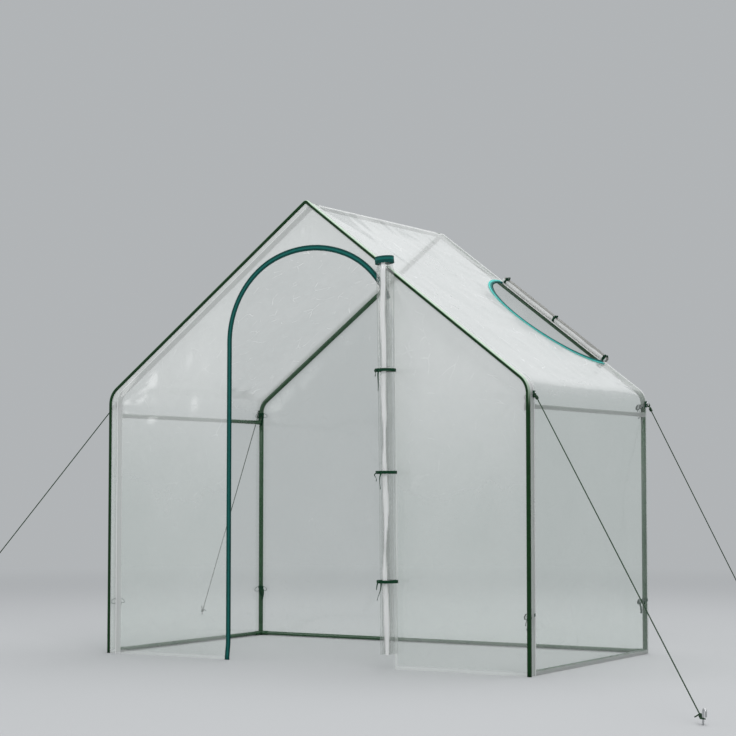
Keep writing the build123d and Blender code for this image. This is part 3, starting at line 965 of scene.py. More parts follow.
def overEdge(distance, y):
    # the roof's vent is the one hole in the sheet
    offset = house["filmGrow"] * (math.tan(house["slope"]) - house["slope"])
    return -ventEdge(distance + offset, y) if distance > 0.1 else -1


def overSeam(distance, y):
    # doubled film round the vent
    return seamAt(ventEdge(distance, y), overCover["ventSeam"]) if distance > 0.1 else 0


coverOver = filmPiece(
    "coverOver", (-overLength, overLength), (sheetY["front"], sheetY["rear"]), overCover["step"],
    overEdge, overPlace, overSeam,
)
finished(coverOver, overFilm, "clear_film", "left_wall", "left_roof", "right_roof", "right_wall")
print("cover over the frame made")

# seams: (half width, soft edge, density)
frontCover = {
    "step": 0.0105, "wrinkle": 0.0042, "crease": 0.0016, "pull": 0.002,
    "doorSeam": (0.014, 0.004, 0.5), "groundSeam": (0.012, 0.01, 0.5),
}
frontAnchors = [
    # the doorway's arch, the ridge, both eaves, the doorway's foot and the ties of the roll
    (0.36, 1.40, 1.2, 9), (0, 1.63, 0.8, 7), (-0.87, 0.95, 0.9, 9), (0.87, 0.95, 0.9, 9),
    (-0.335, 0.02, 0.6, 6), (0.39, 1.05, 0.5, 8), (0.39, 0.69, 0.5, 8), (0.39, 0.31, 0.5, 8),
]


def frontEdge(x, z):
    return max(houseEdge(x, z, house["filmGrow"]), -doorEdge(x, z))


def frontPlace(x, z):
    inside = -houseEdge(x, z, house["filmGrow"]) if z > 0.05 else 1
    calm = smoothStep(0.012, 0.07, min(inside, doorEdge(x, z)))
    drape = wave(x * 6.5 + wave(x * 2, z * 1.5, 2) * 1.2, z * 1.3, 5.5)
    slant = wave(x * 4 - z * 5, x * 3 + z * 3, 9.2)
    crease = fold(x * 5 + z * 1.5, z * 5 - x * 1.5, 6.6) ** 3
    fine = wave(x * 19 + 3, z * 8, 5.9)
    lift = frontCover["wrinkle"] * (0.8 * drape + 0.5 * slant + 0.2 * fine) + frontCover["crease"] * crease
    lift = calm * (lift + frontCover["pull"] * pulls(x, z, frontAnchors))
    return Vector((x, sheetY["front"] - lift, z))


def frontSeam(x, z):
    # doubled film beside the door's zip and along the ground
    return max(seamAt(doorEdge(x, z), frontCover["doorSeam"]), seamAt(z, frontCover["groundSeam"]))


topZ = house["ridgeZ"] + house["filmGrow"]
wideX = house["halfWidth"] + house["filmGrow"]
coverFront = filmPiece(
    "coverFront", (-wideX, wideX), (0, topZ), frontCover["step"], frontEdge, frontPlace, frontSeam,
)
finished(coverFront, frontFilm, "clear_film", "front_wall_left", "front_wall_right", "front_gable")

rearCover = {
    "step": 0.013, "wrinkle": 0.0022, "crease": 0.001, "sag": 0.003, "groundSeam": (0.006, 0.006, 0.4),
}


def rearPlace(x, z):
    inside = -houseEdge(x, z, house["filmGrow"]) if z > 0.05 else 0.1
    calm = smoothStep(0.024, 0.1, min(inside, z - 0.005))
    drape = wave(x * 5 + 20, z * 1.6, 2.5)
    slant = wave(x * 4 + z * 4 + 11, x * 2 - z * 3, 4.2)
    crease = fold(x * 5 - z * 2 + 8, z * 5 + x * 2, 1.6) ** 3
    lift = calm * (rearCover["wrinkle"] * (0.7 * drape + 0.5 * slant) + rearCover["crease"] * crease)
    return Vector((x, sheetY["rear"] + lift - rearCover["sag"] * calm, z))


def rearEdge(x, z):
    return houseEdge(x, z, house["filmGrow"])


def rearSeam(x, z):
    return seamAt(z, rearCover["groundSeam"])


coverRear = filmPiece(
    "coverRear", (-wideX, wideX), (0, topZ), rearCover["step"], rearEdge, rearPlace, rearSeam,
)
finished(coverRear, rearFilm, "clear_film", "rear_wall")
print("front and rear sheets made")


# Piping bound round the front edge
piping = {
    "inner": 0.0032, "outer": 0.0158, "front": 0.0034, "back": 0.0088, "thickness": 0.0026,
    # the last two: how far in from the outer face the painted highlight reaches, on the left and on the right
    "stitchInset": 0.0022, "step": 0.02, "bendStep": 0.005, "leftLap": 0.0008, "rightLap": 0.0022,
}


def pipingSection():
    # (out from the tubes, back from the cover's face), a tape folded over the edge with soft corners
    front, back = -piping["front"], piping["back"]
    inner, outer = piping["inner"], piping["outer"]
    under = outer - piping["thickness"]
    return [
        (inner, -0.0006), (inner, front + 0.0012), (inner + 0.0008, front + 0.0003), (inner + 0.002, front),
        (outer - 0.0042, front - 0.0002), (outer - 0.002, front), (outer - 0.0006, front + 0.0008),
        (outer, front + 0.0024), (outer + 0.0002, 0.001), (outer, back - 0.0016),
        (outer - 0.0005, back - 0.0004), (outer - 0.0014, back),
        (under, back - 0.0006), (under, 0.001), (under - 0.0008, -0.0004),
    ]


def makePiping():
    section = pipingSection()
    girths = lengthsAlong([Vector(place) for place in section])
    frames = houseFrames(piping["step"], piping["bendStep"])
    outer = [point + outAt(angle) * piping["outer"] for point, angle in frames]
    rows = []
    uvRows = []
    paintedPipingHighlights = []
    for (point, angle), length in zip(frames, lengthsAlong(outer)):
        row = []
        for grow, back in section:
            at = point + outAt(angle) * grow
            row.append(Vector((at.x, house["faceY"] + back, at.z)))
        rows.append(row)
        uvRows.append([(length, girth) for girth in girths])
        # painted highlight: a pale strip on the outer face along the slopes, wider on the right-hand side
        onSlope = smoothStep(house["bendZ"] - 0.05, house["bendZ"] + 0.06, point.z)
        paintedHighlightFrom = piping["outer"] - (piping["rightLap"] if point.x > 0.01 else piping["leftLap"])
        paintedPipingHighlights.extend(onSlope * (grow > paintedHighlightFrom) for grow, back in section)
    piece = gridPiece("frontPiping", rows, uvRows, around=True, capped=True)
    pointValues(piece, "lap", paintedPipingHighlights)
    return outwards(piece)


finished(makePiping(), pipingTape, "green_piping", "front_piping")
print("piping made")


# Zips: a woven tape with raised hems and a rib, and a row of coil along its free edge
def ribbedTape(name, line, look):
    # line: places, outward directions and face directions; the section has a hem at both edges
    inner, outer, high, rib, ribHalf = (look[key] for key in ("inner", "outer", "tape", "rib", "ribHalf"))
    edge = 0.0016
    hem, hemTop = look["hem"], look["hem"] + 0.0002
    profile = [
        (inner, 0), (inner, hem), (inner + edge, hemTop), (inner + edge * 1.7, high),
        (-ribHalf, high), (-ribHalf * 0.7, high + rib * 0.8), (0, high + rib),
        (ribHalf * 0.7, high + rib * 0.8), (ribHalf, high),
        (outer - edge * 1.7, high), (outer - edge, hemTop), (outer, hem), (outer, 0),
    ]
    rows = [[at + out * a + face * b for a, b in profile] for at, out, face in zip(*line)]
    uvRows = [[(length, a) for a, b in profile] for length in lengthsAlong(line[0])]
    return outwards(gridPiece(name, rows, uvRows, around=True, capped=True))


zipPlace = {"clearance": 0.0002, "doorStep": 0.012, "stopX": 0.352, "footKick": 0.005, "ventStep": 0.01}
doorZipLook = {
    "inner": -0.008, "outer": 0.012, "tape": 0.0009, "hem": 0.0015, "rib": 0.0016, "ribHalf": 0.003,
}
ventZipLook = {
    "inner": -0.008, "outer": 0.0125, "tape": 0.0012, "hem": 0.0026, "rib": 0.0034, "ribHalf": 0.0028,
}
hingeLook = {
    "inner": -0.008, "outer": 0.008, "tape": 0.0009, "hem": 0.0012, "rib": 0.0006, "ribHalf": 0.0026,
    "overrun": 0.006, "seam": 0.8,
}


def doorZipLine():
    # stops where the flap's end is rolled in
    found = [frame for frame in doorFrames(zipPlace["doorStep"]) if frame[0] <= zipPlace["stopX"]]
    spine = []
    for x, z, angle in found:
        kick = zipPlace["footKick"] * (1 - smoothStep(0, 0.07, z)) if x < 0 else 0
        spine.append(Vector((x - kick, house["faceY"] - zipPlace["clearance"], z)))
    return spine, [outAt(angle) for x, z, angle in found], [-across] * len(found)


def ventZipLine():
    # the half ellipse round the opening
    spine, outs = [], []
    count = round(math.pi * (vent["half"] + vent["depth"]) / 2 / zipPlace["ventStep"])
    for i in range(count + 1):
        angle = -math.pi * i / count
        down = vent["centre"] + vent["half"] * math.cos(angle)
        y = vent["hingeY"] + vent["depth"] * math.sin(angle)
        out = Vector((math.cos(angle) / vent["half"], math.sin(angle) / vent["depth"])).normalized()
        spine.append(onRoof(down, y, zipPlace["clearance"]))
        outs.append(slopeDown * out.x + across * out.y)
    return spine, outs, [slopeOut] * len(spine)


def hingeLine():
    reach = vent["half"] + hingeLook["overrun"]
    downs = [vent["centre"] + reach * k / 20 for k in range(-20, 21)]
    spine = [onRoof(down, vent["hingeY"], zipPlace["clearance"]) for down in downs]
    return spine, [across] * len(spine), [slopeOut] * len(spine)


doorLine = doorZipLine()
ventLine = ventZipLine()
finished(ribbedTape("doorZip", doorLine, doorZipLook), zipTape, "teal_zip", "door_zip")
finished(ribbedTape("ventZip", ventLine, ventZipLook), ventTapePaintedLight, "teal_zip", "vent_zip")
ventHinge = ribbedTape("ventHinge", hingeLine(), hingeLook)
pointValues(ventHinge, "seam", [hingeLook["seam"]] * len(ventHinge.data.vertices))
finished(ventHinge, ventFilm, "clear_film", "vent_zip")
print("zips made")


# Rolled flaps: one sheet of film wound up, so that its edge shows as a spiral
def rollPiece(name, start, end, look, radiusAt, paintedHighlightAt, joinTo=None):
    along = (end - start).normalized()
    side = (across - along * across.dot(along)).normalized()
    other = along.cross(side)
    length = (end - start).length
    countLong = round(length / look["step"])
    countRound = round(look["turns"] * look["sides"])
    rows = []
    paintedRollHighlights = []
    facing = math.atan2(look["paintedHighlightFacing"].dot(other), look["paintedHighlightFacing"].dot(side))
    for i in range(countLong + 1):
        distance = length * i / countLong
        middle, half = paintedHighlightAt(distance)
        limit = radiusAt(distance)
        row = []
        for k in range(countRound + 1):
            turn = look["turns"] * k / countRound
            angle = look["startAngle"] + 2 * math.pi * turn
            share = k / countRound
            radius = look["inner"] + (look["outer"] - look["inner"]) * share ** look["loosening"]
            aside, above = math.cos(angle), math.sin(angle)
            wobble = wave(distance * look["longWaves"], aside * 0.9 + turn * 0.6, above * 0.9)
            crease = fold(distance * 1.7, aside * 1.4 + 5, above * 1.4 + turn) ** 2
            radius = radius * limit / look["outer"] + look["wobble"] * wobble - look["crease"] * crease * share
            radius = min(radius, limit + 0.0015)
            slide = look["slide"] * wave(turn * 0.7, 3.1, 8.8) if i in (0, countLong) else 0
            row.append(start + along * (distance + slide) + aimed(side, other, angle) * radius)
            away = abs((angle - facing - middle + math.pi) % (2 * math.pi) - math.pi) * look["outer"]
            # the painted highlight, a white streak facing one way, is on the outermost turns only
            paintedRollHighlights.append(nearLine(away, half, look["paintedHighlightSoft"]) if turn > look["turns"] - 1.6 else 0)
        if joinTo:
            last = row[-1]
            row.extend(last.lerp(joinTo(last), k / 4) for k in range(1, 5))
            paintedRollHighlights.extend([0] * 4)
        rows.append(row)
    piece = gridPiece(name, rows)
    pointValues(piece, "seam", paintedRollHighlights)
    return piece


doorRollLook = {
    "topX": 0.357, "topZ": 1.454, "footX": 0.372, "footZ": 0.055, "ties": (0.308, 0.690, 1.050),
    "inner": 0.006, "outer": 0.0362, "turns": 5.6, "sides": 44, "startAngle": -2 * math.pi * 5.6 + 0.15,
    "loosening": 2.2, "step": 0.012, "wobble": 0.0017, "crease": 0.0045, "longWaves": 3.0, "slide": 0.004,
    "tiePinch": 0.0012, "tieReach": 0.03, "neck": 0.030, "neckFrom": 0.046, "neckReach": 0.02,
    "paintedHighlightFacing": Vector((0.33, -0.94, 0)), "paintedHighlightHalf": 0.0085, "paintedHighlightSoft": 0.005, "paintedHighlightTaper": 0.8,
}
doorRollY = middleOf("door_roll").y
doorRollFoot = Vector((doorRollLook["footX"], doorRollY, doorRollLook["footZ"]))
doorRollTop = Vector((doorRollLook["topX"], doorRollY, doorRollLook["topZ"]))
doorRollAlong = (doorRollTop - doorRollFoot).normalized()


def doorRollRadius(distance):
    look = doorRollLook
    height = look["footZ"] + distance
    tight = max(math.exp(-((height - tie) / look["tieReach"]) ** 2) for tie in look["ties"])
    neckFrom = look["topZ"] - look["neckFrom"]
    narrow = smoothStep(neckFrom, neckFrom + look["neckReach"], height)
    return look["outer"] - look["tiePinch"] * tight - (look["outer"] - look["neck"]) * narrow


def doorRollJoin(point):
    # the flap's hinge side: back to the front sheet's edge up to the arch, then close to the roll
    edge = Vector((door["rightX"], sheetY["front"], point.z))
    near = point + Vector((0.004, 0.002, 0))
    return edge.lerp(near, smoothStep(door["spring"] - 0.02, door["spring"] + 0.12, point.z))


def doorRollPaintedHighlight(distance):
    # the painted highlight: a little off centre, and pinched to a point above each tie but the first
    height = doorRollLook["footZ"] + distance
    stops = (doorRollLook["footZ"] - 0.2, *doorRollLook["ties"])
    pinch = 0
    for low, high in zip(stops, stops[1:]):
        if low <= height < high:
            pinch = math.exp(-(((high - height) / (high - low) - 0.68) / 0.2) ** 2)
    share = 1 - doorRollLook["paintedHighlightTaper"] * pinch + 0.2 * wave(height * 7, 1.2, 3.3)
    return 0.22 * wave(height * 4.5, 6.1, 2.2), doorRollLook["paintedHighlightHalf"] * share


doorRoll = rollPiece(
    "doorRoll", doorRollFoot, doorRollTop, doorRollLook, doorRollRadius, doorRollPaintedHighlight, doorRollJoin,
)
finished(doorRoll, rollFilm, "rolled_film", "door_roll")

ventRollLook = {
    "inner": 0.0085, "outer": 0.0143, "turns": 2.6, "sides": 26, "startAngle": 0.4, "loosening": 1.2,
    "step": 0.01, "wobble": 0.0003, "crease": 0.0004, "longWaves": 6.0, "slide": 0.004,
    "overrun": 0.005, "offset": 0.015, "lift": 0.0138, "tieInset": 0.013, "tiePinch": 0.0022, "tieReach": 0.02,
    "paintedHighlightFacing": Vector((0.16, -1.05, -0.42)), "paintedHighlightHalf": 0.0082, "paintedHighlightSoft": 0.004,
}
ventRollLength = 2 * (vent["half"] + ventRollLook["overrun"])
ventRollStart = onRoof(
    vent["centre"] - ventRollLength / 2, vent["hingeY"] + ventRollLook["offset"], ventRollLook["lift"],
)
ventRollEnd = ventRollStart + slopeDown * ventRollLength
ventTies = (ventRollLook["tieInset"], ventRollLength / 2, ventRollLength - ventRollLook["tieInset"])


def ventRollRadius(distance):
    tight = max(math.exp(-((distance - tie) / ventRollLook["tieReach"]) ** 2) for tie in ventTies)
    return ventRollLook["outer"] - ventRollLook["tiePinch"] * tight


# the painted highlight along the vent roll, with a slightly wavy width
def ventRollPaintedHighlight(distance):
    half = ventRollLook["paintedHighlightHalf"] + 0.001 * wave(distance * 14, 7.7, 1.1)
    return 0.1 * wave(distance * 9, 2.2, 4.1), half


ventRoll = rollPiece("ventRoll", ventRollStart, ventRollEnd, ventRollLook, ventRollRadius, ventRollPaintedHighlight)
finished(ventRoll, ventFilm, "rolled_film", "vent_roll")
print("rolls made")


# Coil of the zips and rows of stitches; a line is its places, outward directions and face directions
def coilAlong(name, line, look):
    spine, outs, faces = line
    lengths = lengthsAlong(spine)
    steps = round(lengths[-1] / look["pitch"]) * look["perTurn"]
    rows = []
    k = 0
    for step in range(steps + 1):
        distance = lengths[-1] * step / steps
        while k < len(lengths) - 2 and lengths[k + 1] < distance:
            k += 1
        share = (distance - lengths[k]) / (lengths[k + 1] - lengths[k])
        point, out, face = (values[k].lerp(values[k + 1], share) for values in line)
        angle = 2 * math.pi * step / look["perTurn"]
        centre = point + out * (look["at"] + look["wide"] * math.cos(angle))
        centre += face * (look["high"] * math.sin(angle) + look["lift"])
        ahead = (spine[k + 1] - spine[k]).normalized()
        outward = aimed(out, face, angle).normalized()
        rows.append([centre + aimed(outward, ahead, math.pi / 2 * turn) * look["wire"] for turn in range(4)])
    uvRows = [[(i * 0.001, turn * 0.001) for turn in range(4)] for i in range(len(rows))]
    return gridPiece(name, rows, uvRows, around=True, capped=True)


def stitchesAlong(name, line, at, lift):
    # raised threads, each a small six-sided bead
    spine = line[0]
    points, beads, uvs = [], [], []
    half, thick = stitch["long"] / 2, stitch["thick"]
    carried = half
    for i in range(len(spine) - 1):
        length = (spine[i + 1] - spine[i]).length
        along = (spine[i + 1] - spine[i]).normalized()
        while carried < length:
            start, out, face = (values[i].lerp(values[i + 1], carried / length) for values in line)
            middle = start + out * at + face * lift
            base = len(points)
            points.extend(middle + along * half * end - face * thick for end in (-1, 1))
            for reach in (-0.5, 0.5):
                ring = middle + along * half * reach
                points.extend([ring + out * thick, ring + face * thick, ring - out * thick])
            beads.extend(tuple(base + corner for corner in corners) for corners in stitch["faces"])
            uvs.extend((0.0003 * k, 0.0002 * k) for k in range(8))
            carried += stitch["pitch"]
        carried -= length
    return outwards(meshPiece(name, points, beads, uvs))


coil = {
    "pitch": 0.0032, "perTurn": 8, "wire": 0.00045,
    "at": -0.0072, "wide": 0.0016, "high": 0.0011, "lift": 0.0014,
}
ventCoil = {**coil, "at": -0.0064, "high": 0.0016, "lift": 0.0022}
stitch = {
    "long": 0.0032, "pitch": 0.0046, "thick": 0.0004,
    "faces": (
        (0, 2, 3), (0, 3, 4), (1, 6, 5), (1, 7, 6), (2, 5, 6, 3), (3, 6, 7, 4), (0, 4, 7, 1), (0, 1, 5, 2),
    ),
}
stitchRows = {"door": (0.0098, 0.0044), "doorLift": 0.001, "vent": 0.0058, "ventLift": 0.0013}


def pipingLine():
    # along the piping's inner edge, on its front
    spine, outs = [], []
    for point, angle in houseFrames(piping["step"], piping["bendStep"]):
        out = outAt(angle)
        face = Vector((point.x, house["faceY"] - piping["front"], point.z))
        spine.append(face + out * (piping["inner"] + piping["stitchInset"]))
        outs.append(out)
    return spine, outs, [-across] * len(spine)


doorTrim = [coilAlong("doorCoil", doorLine, coil)]
for at in stitchRows["door"]:
    doorTrim.append(stitchesAlong("doorStitch", doorLine, at, stitchRows["doorLift"]))
ventTrim = [
    coilAlong("ventCoil", ventLine, ventCoil),
    stitchesAlong("ventStitch", ventLine, stitchRows["vent"], stitchRows["ventLift"]),
]
finished(joined("doorZipTrim", doorTrim), zipThread, "teal_zip", "door_zip")
finished(joined("ventZipTrim", ventTrim), zipThread, "teal_zip", "vent_zip")
finished(stitchesAlong("pipingStitches", pipingLine(), 0, 0), pipingTape, "green_piping", "front_piping")
print("coils and stitches made")


# Ties: a tape wound round, knotted, with ends that hang down
ties = {
    "width": 0.0105, "thickness": 0.0013, "doorRadius": 0.0367, "ventRadius": 0.0116, "postRadius": 0.0099,
    "knotOut": 0.0022, "knotRadius": 0.0022, "knotWidth": 0.0062, "lump": (0.0042, 0.0036, 0.0032),
    "tailWidth": 0.7, "tailPush": 0.006, "tailSway": 0.0035, "tailDrift": 0.003, "tailTwist": 0.9,
    "bowWidth": 0.6, "bowDroop": 0.5, "bowRise": 0.3, "secondBow": 0.85,
    "low": 0.205, "high": 0.951, "lowBow": 0.03, "highBow": 0.022,
    "postTails": ((-0.004, 0.05), (0.005, 0.036)),
    "doorTails": (
        ((-0.010, 0.062), (0.006, 0.026)), ((-0.012, 0.058), (0.005, 0.03)), ((-0.012, 0.074), (0.006, 0.022)),
    ),
    "ventTails": ((-0.004, 0.012), (0.005, 0.016)), "ventShare": 0.9,
}


def tieLoop(name, centre, axis, side, radius, width):
    count = max(12, round(radius * 2 * math.pi / 0.0035))
    reach = radius + ties["thickness"] / 2
    points = [centre + aimed(side, axis.cross(side), 2 * math.pi * k / count) * reach for k in range(count)]
    return tapeAlong(name, points, [axis] * count, width, ties["thickness"], closed=True)


def tapeTail(name, start, out, sideways, length, width, seed):
    chance = random.Random(seed)
    lean = chance.uniform(-0.25, 0.25)
    curl = chance.uniform(0.6, 1.4)
    points, flats = [], []
    count = 14
    for k in range(count + 1):
        s = k / count
        fall = length * (s - 0.12 * math.sin(math.pi * s) * (1 - s))
        push = ties["tailPush"] * math.sin(min(1, s * 3) * math.pi / 2)
        push += ties["tailSway"] * math.sin(s * 5 * curl + seed)
        drift = length * lean * s + ties["tailDrift"] * math.sin(s * 4 * curl)
        points.append(start + out * push + sideways * drift - up * fall)
        twist = ties["tailTwist"] * curl * s * (1 if seed % 2 else -1)
        flats.append(aimed(sideways, out, twist))
    return tapeAlong(name, points, flats, width, ties["thickness"])


def bowLoop(name, start, out, sideways, size, width):
    reach = (sideways - up * ties["bowDroop"]).normalized()
    rise = reach.cross(out).normalized()
    points = []
    count = 18
    for k in range(count + 1):
        angle = 2 * math.pi * (0.02 + 0.96 * k / count)
        flat = reach * (1 - math.cos(angle)) / 2 + rise * ties["bowRise"] * math.sin(angle)
        points.append(start + flat * size + out * 0.002)
    return tapeAlong(name, points, [out] * len(points), width, ties["thickness"])


def knotLump(name, centre, out):
    bpy.ops.mesh.primitive_uv_sphere_add(segments=16, ring_count=10, radius=1, location=centre)
    lump = bpy.context.object
    lump.name = name
    lump.scale = ties["lump"]
    lump.rotation_euler = out.to_track_quat("Z", "Y").to_euler()
    bpy.ops.object.shade_smooth()
    return lump


def knottedTie(name, centre, axis, radius, out, tails, seed, bow=0.0, share=1.0):
    # out: the side on which the knot sits
    width = ties["width"] * share
    out = (out - axis * out.dot(axis)).normalized()
    sideways = out.cross(up).normalized()
    knot = centre + out * (radius + ties["thickness"] + ties["knotOut"])
    parts = [
        tieLoop(name, centre, axis, axis.orthogonal().normalized(), radius, width),
        tieLoop(name + "Knot", knot - out * 0.0004, sideways, out, ties["knotRadius"], ties["knotWidth"]),
        knotLump(name + "Lump", knot, out),
    ]
    for i, (shift, length) in enumerate(tails):
        start = knot + sideways * shift - up * 0.001
        swing = sideways * (1 if shift > 0 else -1)
        parts.append(tapeTail(name + "Tail", start, out, swing, length, width * ties["tailWidth"], seed + i))
    if bow:
        for turn, size in ((1, bow), (-1, bow * ties["secondBow"])):
            parts.append(bowLoop(name + "Bow", knot, out, sideways * turn, size, width * ties["bowWidth"]))
    return parts


def makeRollTies():
    parts = []
    towards = Vector((-0.25, -1, 0)).normalized()
    for i, (height, tails) in enumerate(zip(doorRollLook["ties"], ties["doorTails"])):
        centre = doorRollFoot + doorRollAlong * ((height - doorRollFoot.z) / doorRollAlong.z)
        parts += knottedTie("doorTie", centre, doorRollAlong, ties["doorRadius"], towards, tails, 3 + i * 2)
    for i, place in enumerate(ventTies):
        parts += knottedTie(
            "ventTie", ventRollStart + slopeDown * place, slopeDown, ties["ventRadius"],
            slopeOut - across * 0.6, ties["ventTails"], 20 + i, share=ties["ventShare"],
        )
    return joined("rollTies", parts)


def makeCoverTies():
    parts = []
    for end, y in ends.items():
        for side in sides.values():
            for height in (ties["low"], ties["high"]):
                centre = Vector((side * house["halfWidth"], y, height))
                seed = round(33 + height * 10 + side * 3 + y * 11)
                bow = ties["lowBow"] if end == "rear" or height == ties["low"] else ties["highBow"]
                towards = Vector((-side * 0.8, -1, 0))
                parts += knottedTie(
                    "coverTie", centre, up, ties["postRadius"], towards, ties["postTails"], seed, bow,
                )
    return joined("coverTies", parts)


finished(makeRollTies(), tieTape, "green_tape", "roll_ties")
finished(makeCoverTies(), tieTape, "green_tape", "cover_ties")

strap = {
    "width": 0.025, "thickness": 0.0016, "drop": 0.014, "tilt": math.radians(5), "radius": 0.0326,
    "turns": 1.42, "start": -1.1, "grow": 0.002, "unevenness": 0.0008, "slide": 0.0016,
    "stitches": (0.0098, -0.0098),
}


def makeStrap():
    # the zip tape's end, wound nearly one and a half turns round the neck, with its end laid over
    centre = doorRollTop - doorRollAlong * strap["drop"]
    axis = (Matrix.Rotation(-strap["tilt"], 3, "Y") @ doorRollAlong).normalized()
    back = (across - axis * across.dot(axis)).normalized()
    other = axis.cross(back)
    points = []
    count = 84
    for k in range(count + 1):
        angle = strap["start"] + 2 * math.pi * strap["turns"] * k / count
        grow = strap["grow"] * smoothStep(0.5, 0.72, k / count) + strap["unevenness"] * wave(k * 0.09, 2.2, 1.1)
        slide = axis * (strap["slide"] * smoothStep(0.6, 1, k / count))
        points.append(centre + slide + aimed(back, other, angle) * (strap["radius"] + grow))
    outs = [axis] * len(points)
    faces = [(point - centre - axis * (point - centre).dot(axis)).normalized() for point in points]
    parts = [tapeAlong("strapBand", points, outs, strap["width"], strap["thickness"])]
    for at in strap["stitches"]:
        parts.append(stitchesAlong("strapStitch", (points, outs, faces), at, strap["thickness"] / 2 + 0.0001))
    return joined("doorRollStrap", parts)


finished(makeStrap(), zipTape, "teal_zip", "door_roll_strap")
print("ties and strap made")


# Tabs, ropes and pegs, from the same places as the CAD's
guys = {
    "reach": {
        "front_left": (0.526, 0.526), "front_right": (0.974, 0.950),
        "rear_left": (0.974, 0.917), "rear_right": (0.373, 0.364),
    },
    "tabX": 0.9009, "tabHeight": 0.024, "tabWidth": 0.020, "tabFold": 0.0036, "tabThickness": 0.0014,
    "ringCentre": 0.0065, "ringWire": 0.0014, "ringOut": 0.008, "ringReach": 0.0021,
    "pegRadius": 0.003, "pegHeight": 0.034, "hookRadius": 0.009, "hookDrop": 0.012, "tieHeight": 0.015,
    "ropeRadius": 0.002, "strand": 0.00105, "lay": 0.0135, "ropeStep": 0.0024, "loopRadius": 0.0052,
    "hitchTurns": 3.2, "hitchLength": 0.0135, "hitchRadius": 0.0042, "hitchFrom": 0.024, "pegSlack": 0.0004,
}


def guyPlaces(end, side):
    sign, y = sides[side], ends[end]
    tab = Vector((sign * guys["tabX"], y, house["tabZ"]))
    reachX, reachY = guys["reach"][end + "_" + side]
    peg = Vector((sign * (house["halfWidth"] + reachX), y + (-reachY if end == "front" else reachY), 0))
    heading = Vector((peg.x - tab.x, peg.y - tab.y, 0)).normalized()
    return tab, peg, heading, sign


def ropePath(end, side):
    tab, peg, heading, sign = guyPlaces(end, side)
    ring = tab + heading * guys["ringOut"]
    foot = peg + up * guys["tieHeight"]
    pull = (foot - ring).normalized()
    lift = heading.cross(up)
    upward = lift.cross(pull).normalized()
    loopCentre = ring + pull * (guys["ringReach"] - guys["ropeRadius"] + guys["loopRadius"])

    def hitch(start):
        # turns round the rope itself, back towards the ring
        turns = 2 * math.pi * guys["hitchTurns"]
        back = pull * guys["hitchLength"]
        radius = guys["hitchRadius"]
        return [start - back * k / 30 + aimed(upward, lift, turns * k / 30) * radius for k in range(31)]

    # a hitch, the loop through the ring, the run to the peg, a turn round it and the second hitch
    path = hitch(loopCentre + pull * guys["hitchFrom"])
    for k in range(3, 22):
        path.append(loopCentre + aimed(pull, upward, math.pi * k / 12 - math.pi) * guys["loopRadius"])
    pegLoop = guys["pegRadius"] + guys["pegSlack"] + guys["ropeRadius"]
    finish = foot - heading * pegLoop
    path.append(loopCentre + pull * 0.012)
    path.append(finish - pull * 0.014)
    for k in range(1, 23):
        angle = math.pi + 2 * math.pi * k / 24
        path.append(foot + aimed(heading, lift, angle) * pegLoop + up * 0.003 * k / 22)
    path += hitch(finish - pull * 0.004)
    path.append(path[-1] + lift * 0.006 - up * 0.004)
    path.append(path[-1] + lift * 0.006 - up * 0.006 - pull * 0.004)
    return path


def evenly(path, step):
    points = [path[0]]
    carried = 0
    for first, second in zip(path, path[1:]):
        length = (second - first).length
        while carried + step <= length:
            carried += step
            points.append(first.lerp(second, carried / length))
        carried -= length
    return points


def ropePiece(name, path):
    # three strands laid round each other
    points = evenly(path, guys["ropeStep"])
    frames = frameAlong(points)
    strands = []
    for strand in range(3):
        centres = []
        for i, (point, (along, side, other)) in enumerate(zip(points, frames)):
            angle = 2 * math.pi * (i * guys["ropeStep"] / guys["lay"] + strand / 3)
            centres.append(point + aimed(side, other, angle) * guys["strand"])
        strands.append(tubeAlong(name + "Strand", centres, guys["strand"] * 1.08, 6))
    return joined(name, strands)


def makeTab(end, side):
    # a tape sewn on above and below, with a fold between for the ring
    tab, peg, heading, sign = guyPlaces(end, side)
    outward = Vector((sign, 0, 0))
    half, bend = guys["tabHeight"] / 2, guys["tabFold"]
    above = [(bend * 0.5, 0.0024), (bend * 0.9, 0.001), (bend * 1.4, 0.0002), (half * 0.6, 0), (half, 0)]
    profile = [(-z, out) for z, out in reversed(above)] + [(0, 0.003)] + above
    spine = [tab + up * z + outward * out for z, out in profile]
    parts = [tapeAlong("tabBand", spine, [across] * len(spine), guys["tabWidth"], guys["tabThickness"])]
    for share in (-0.8, -0.45, 0.45, 0.8):
        row = [tab + up * half * share + across * (guys["tabWidth"] * 0.4 * k / 6) for k in range(-6, 7)]
        parts.append(stitchesAlong("tabStitch", (row, [up] * len(row), [outward] * len(row)), 0, 0.0008))
    return parts


def makeRing(end, side):
    tab, peg, heading, sign = guyPlaces(end, side)
    bpy.ops.mesh.primitive_torus_add(
        major_radius=guys["ringCentre"], minor_radius=guys["ringWire"], major_segments=40, minor_segments=12,
        location=tab + heading * guys["ringOut"], rotation=heading.cross(up).to_track_quat("Z", "Y").to_euler(),
    )
    bpy.ops.object.shade_smooth()
    return bpy.context.object


def makePeg(end, side):
    tab, peg, heading, sign = guyPlaces(end, side)
    centre = peg + up * guys["pegHeight"] + heading * guys["hookRadius"]
    return bentTube("peg", peg, up, guys["pegRadius"], [
        up * guys["pegHeight"], (centre, up.cross(heading), -math.pi), -up * guys["hookDrop"],
    ])


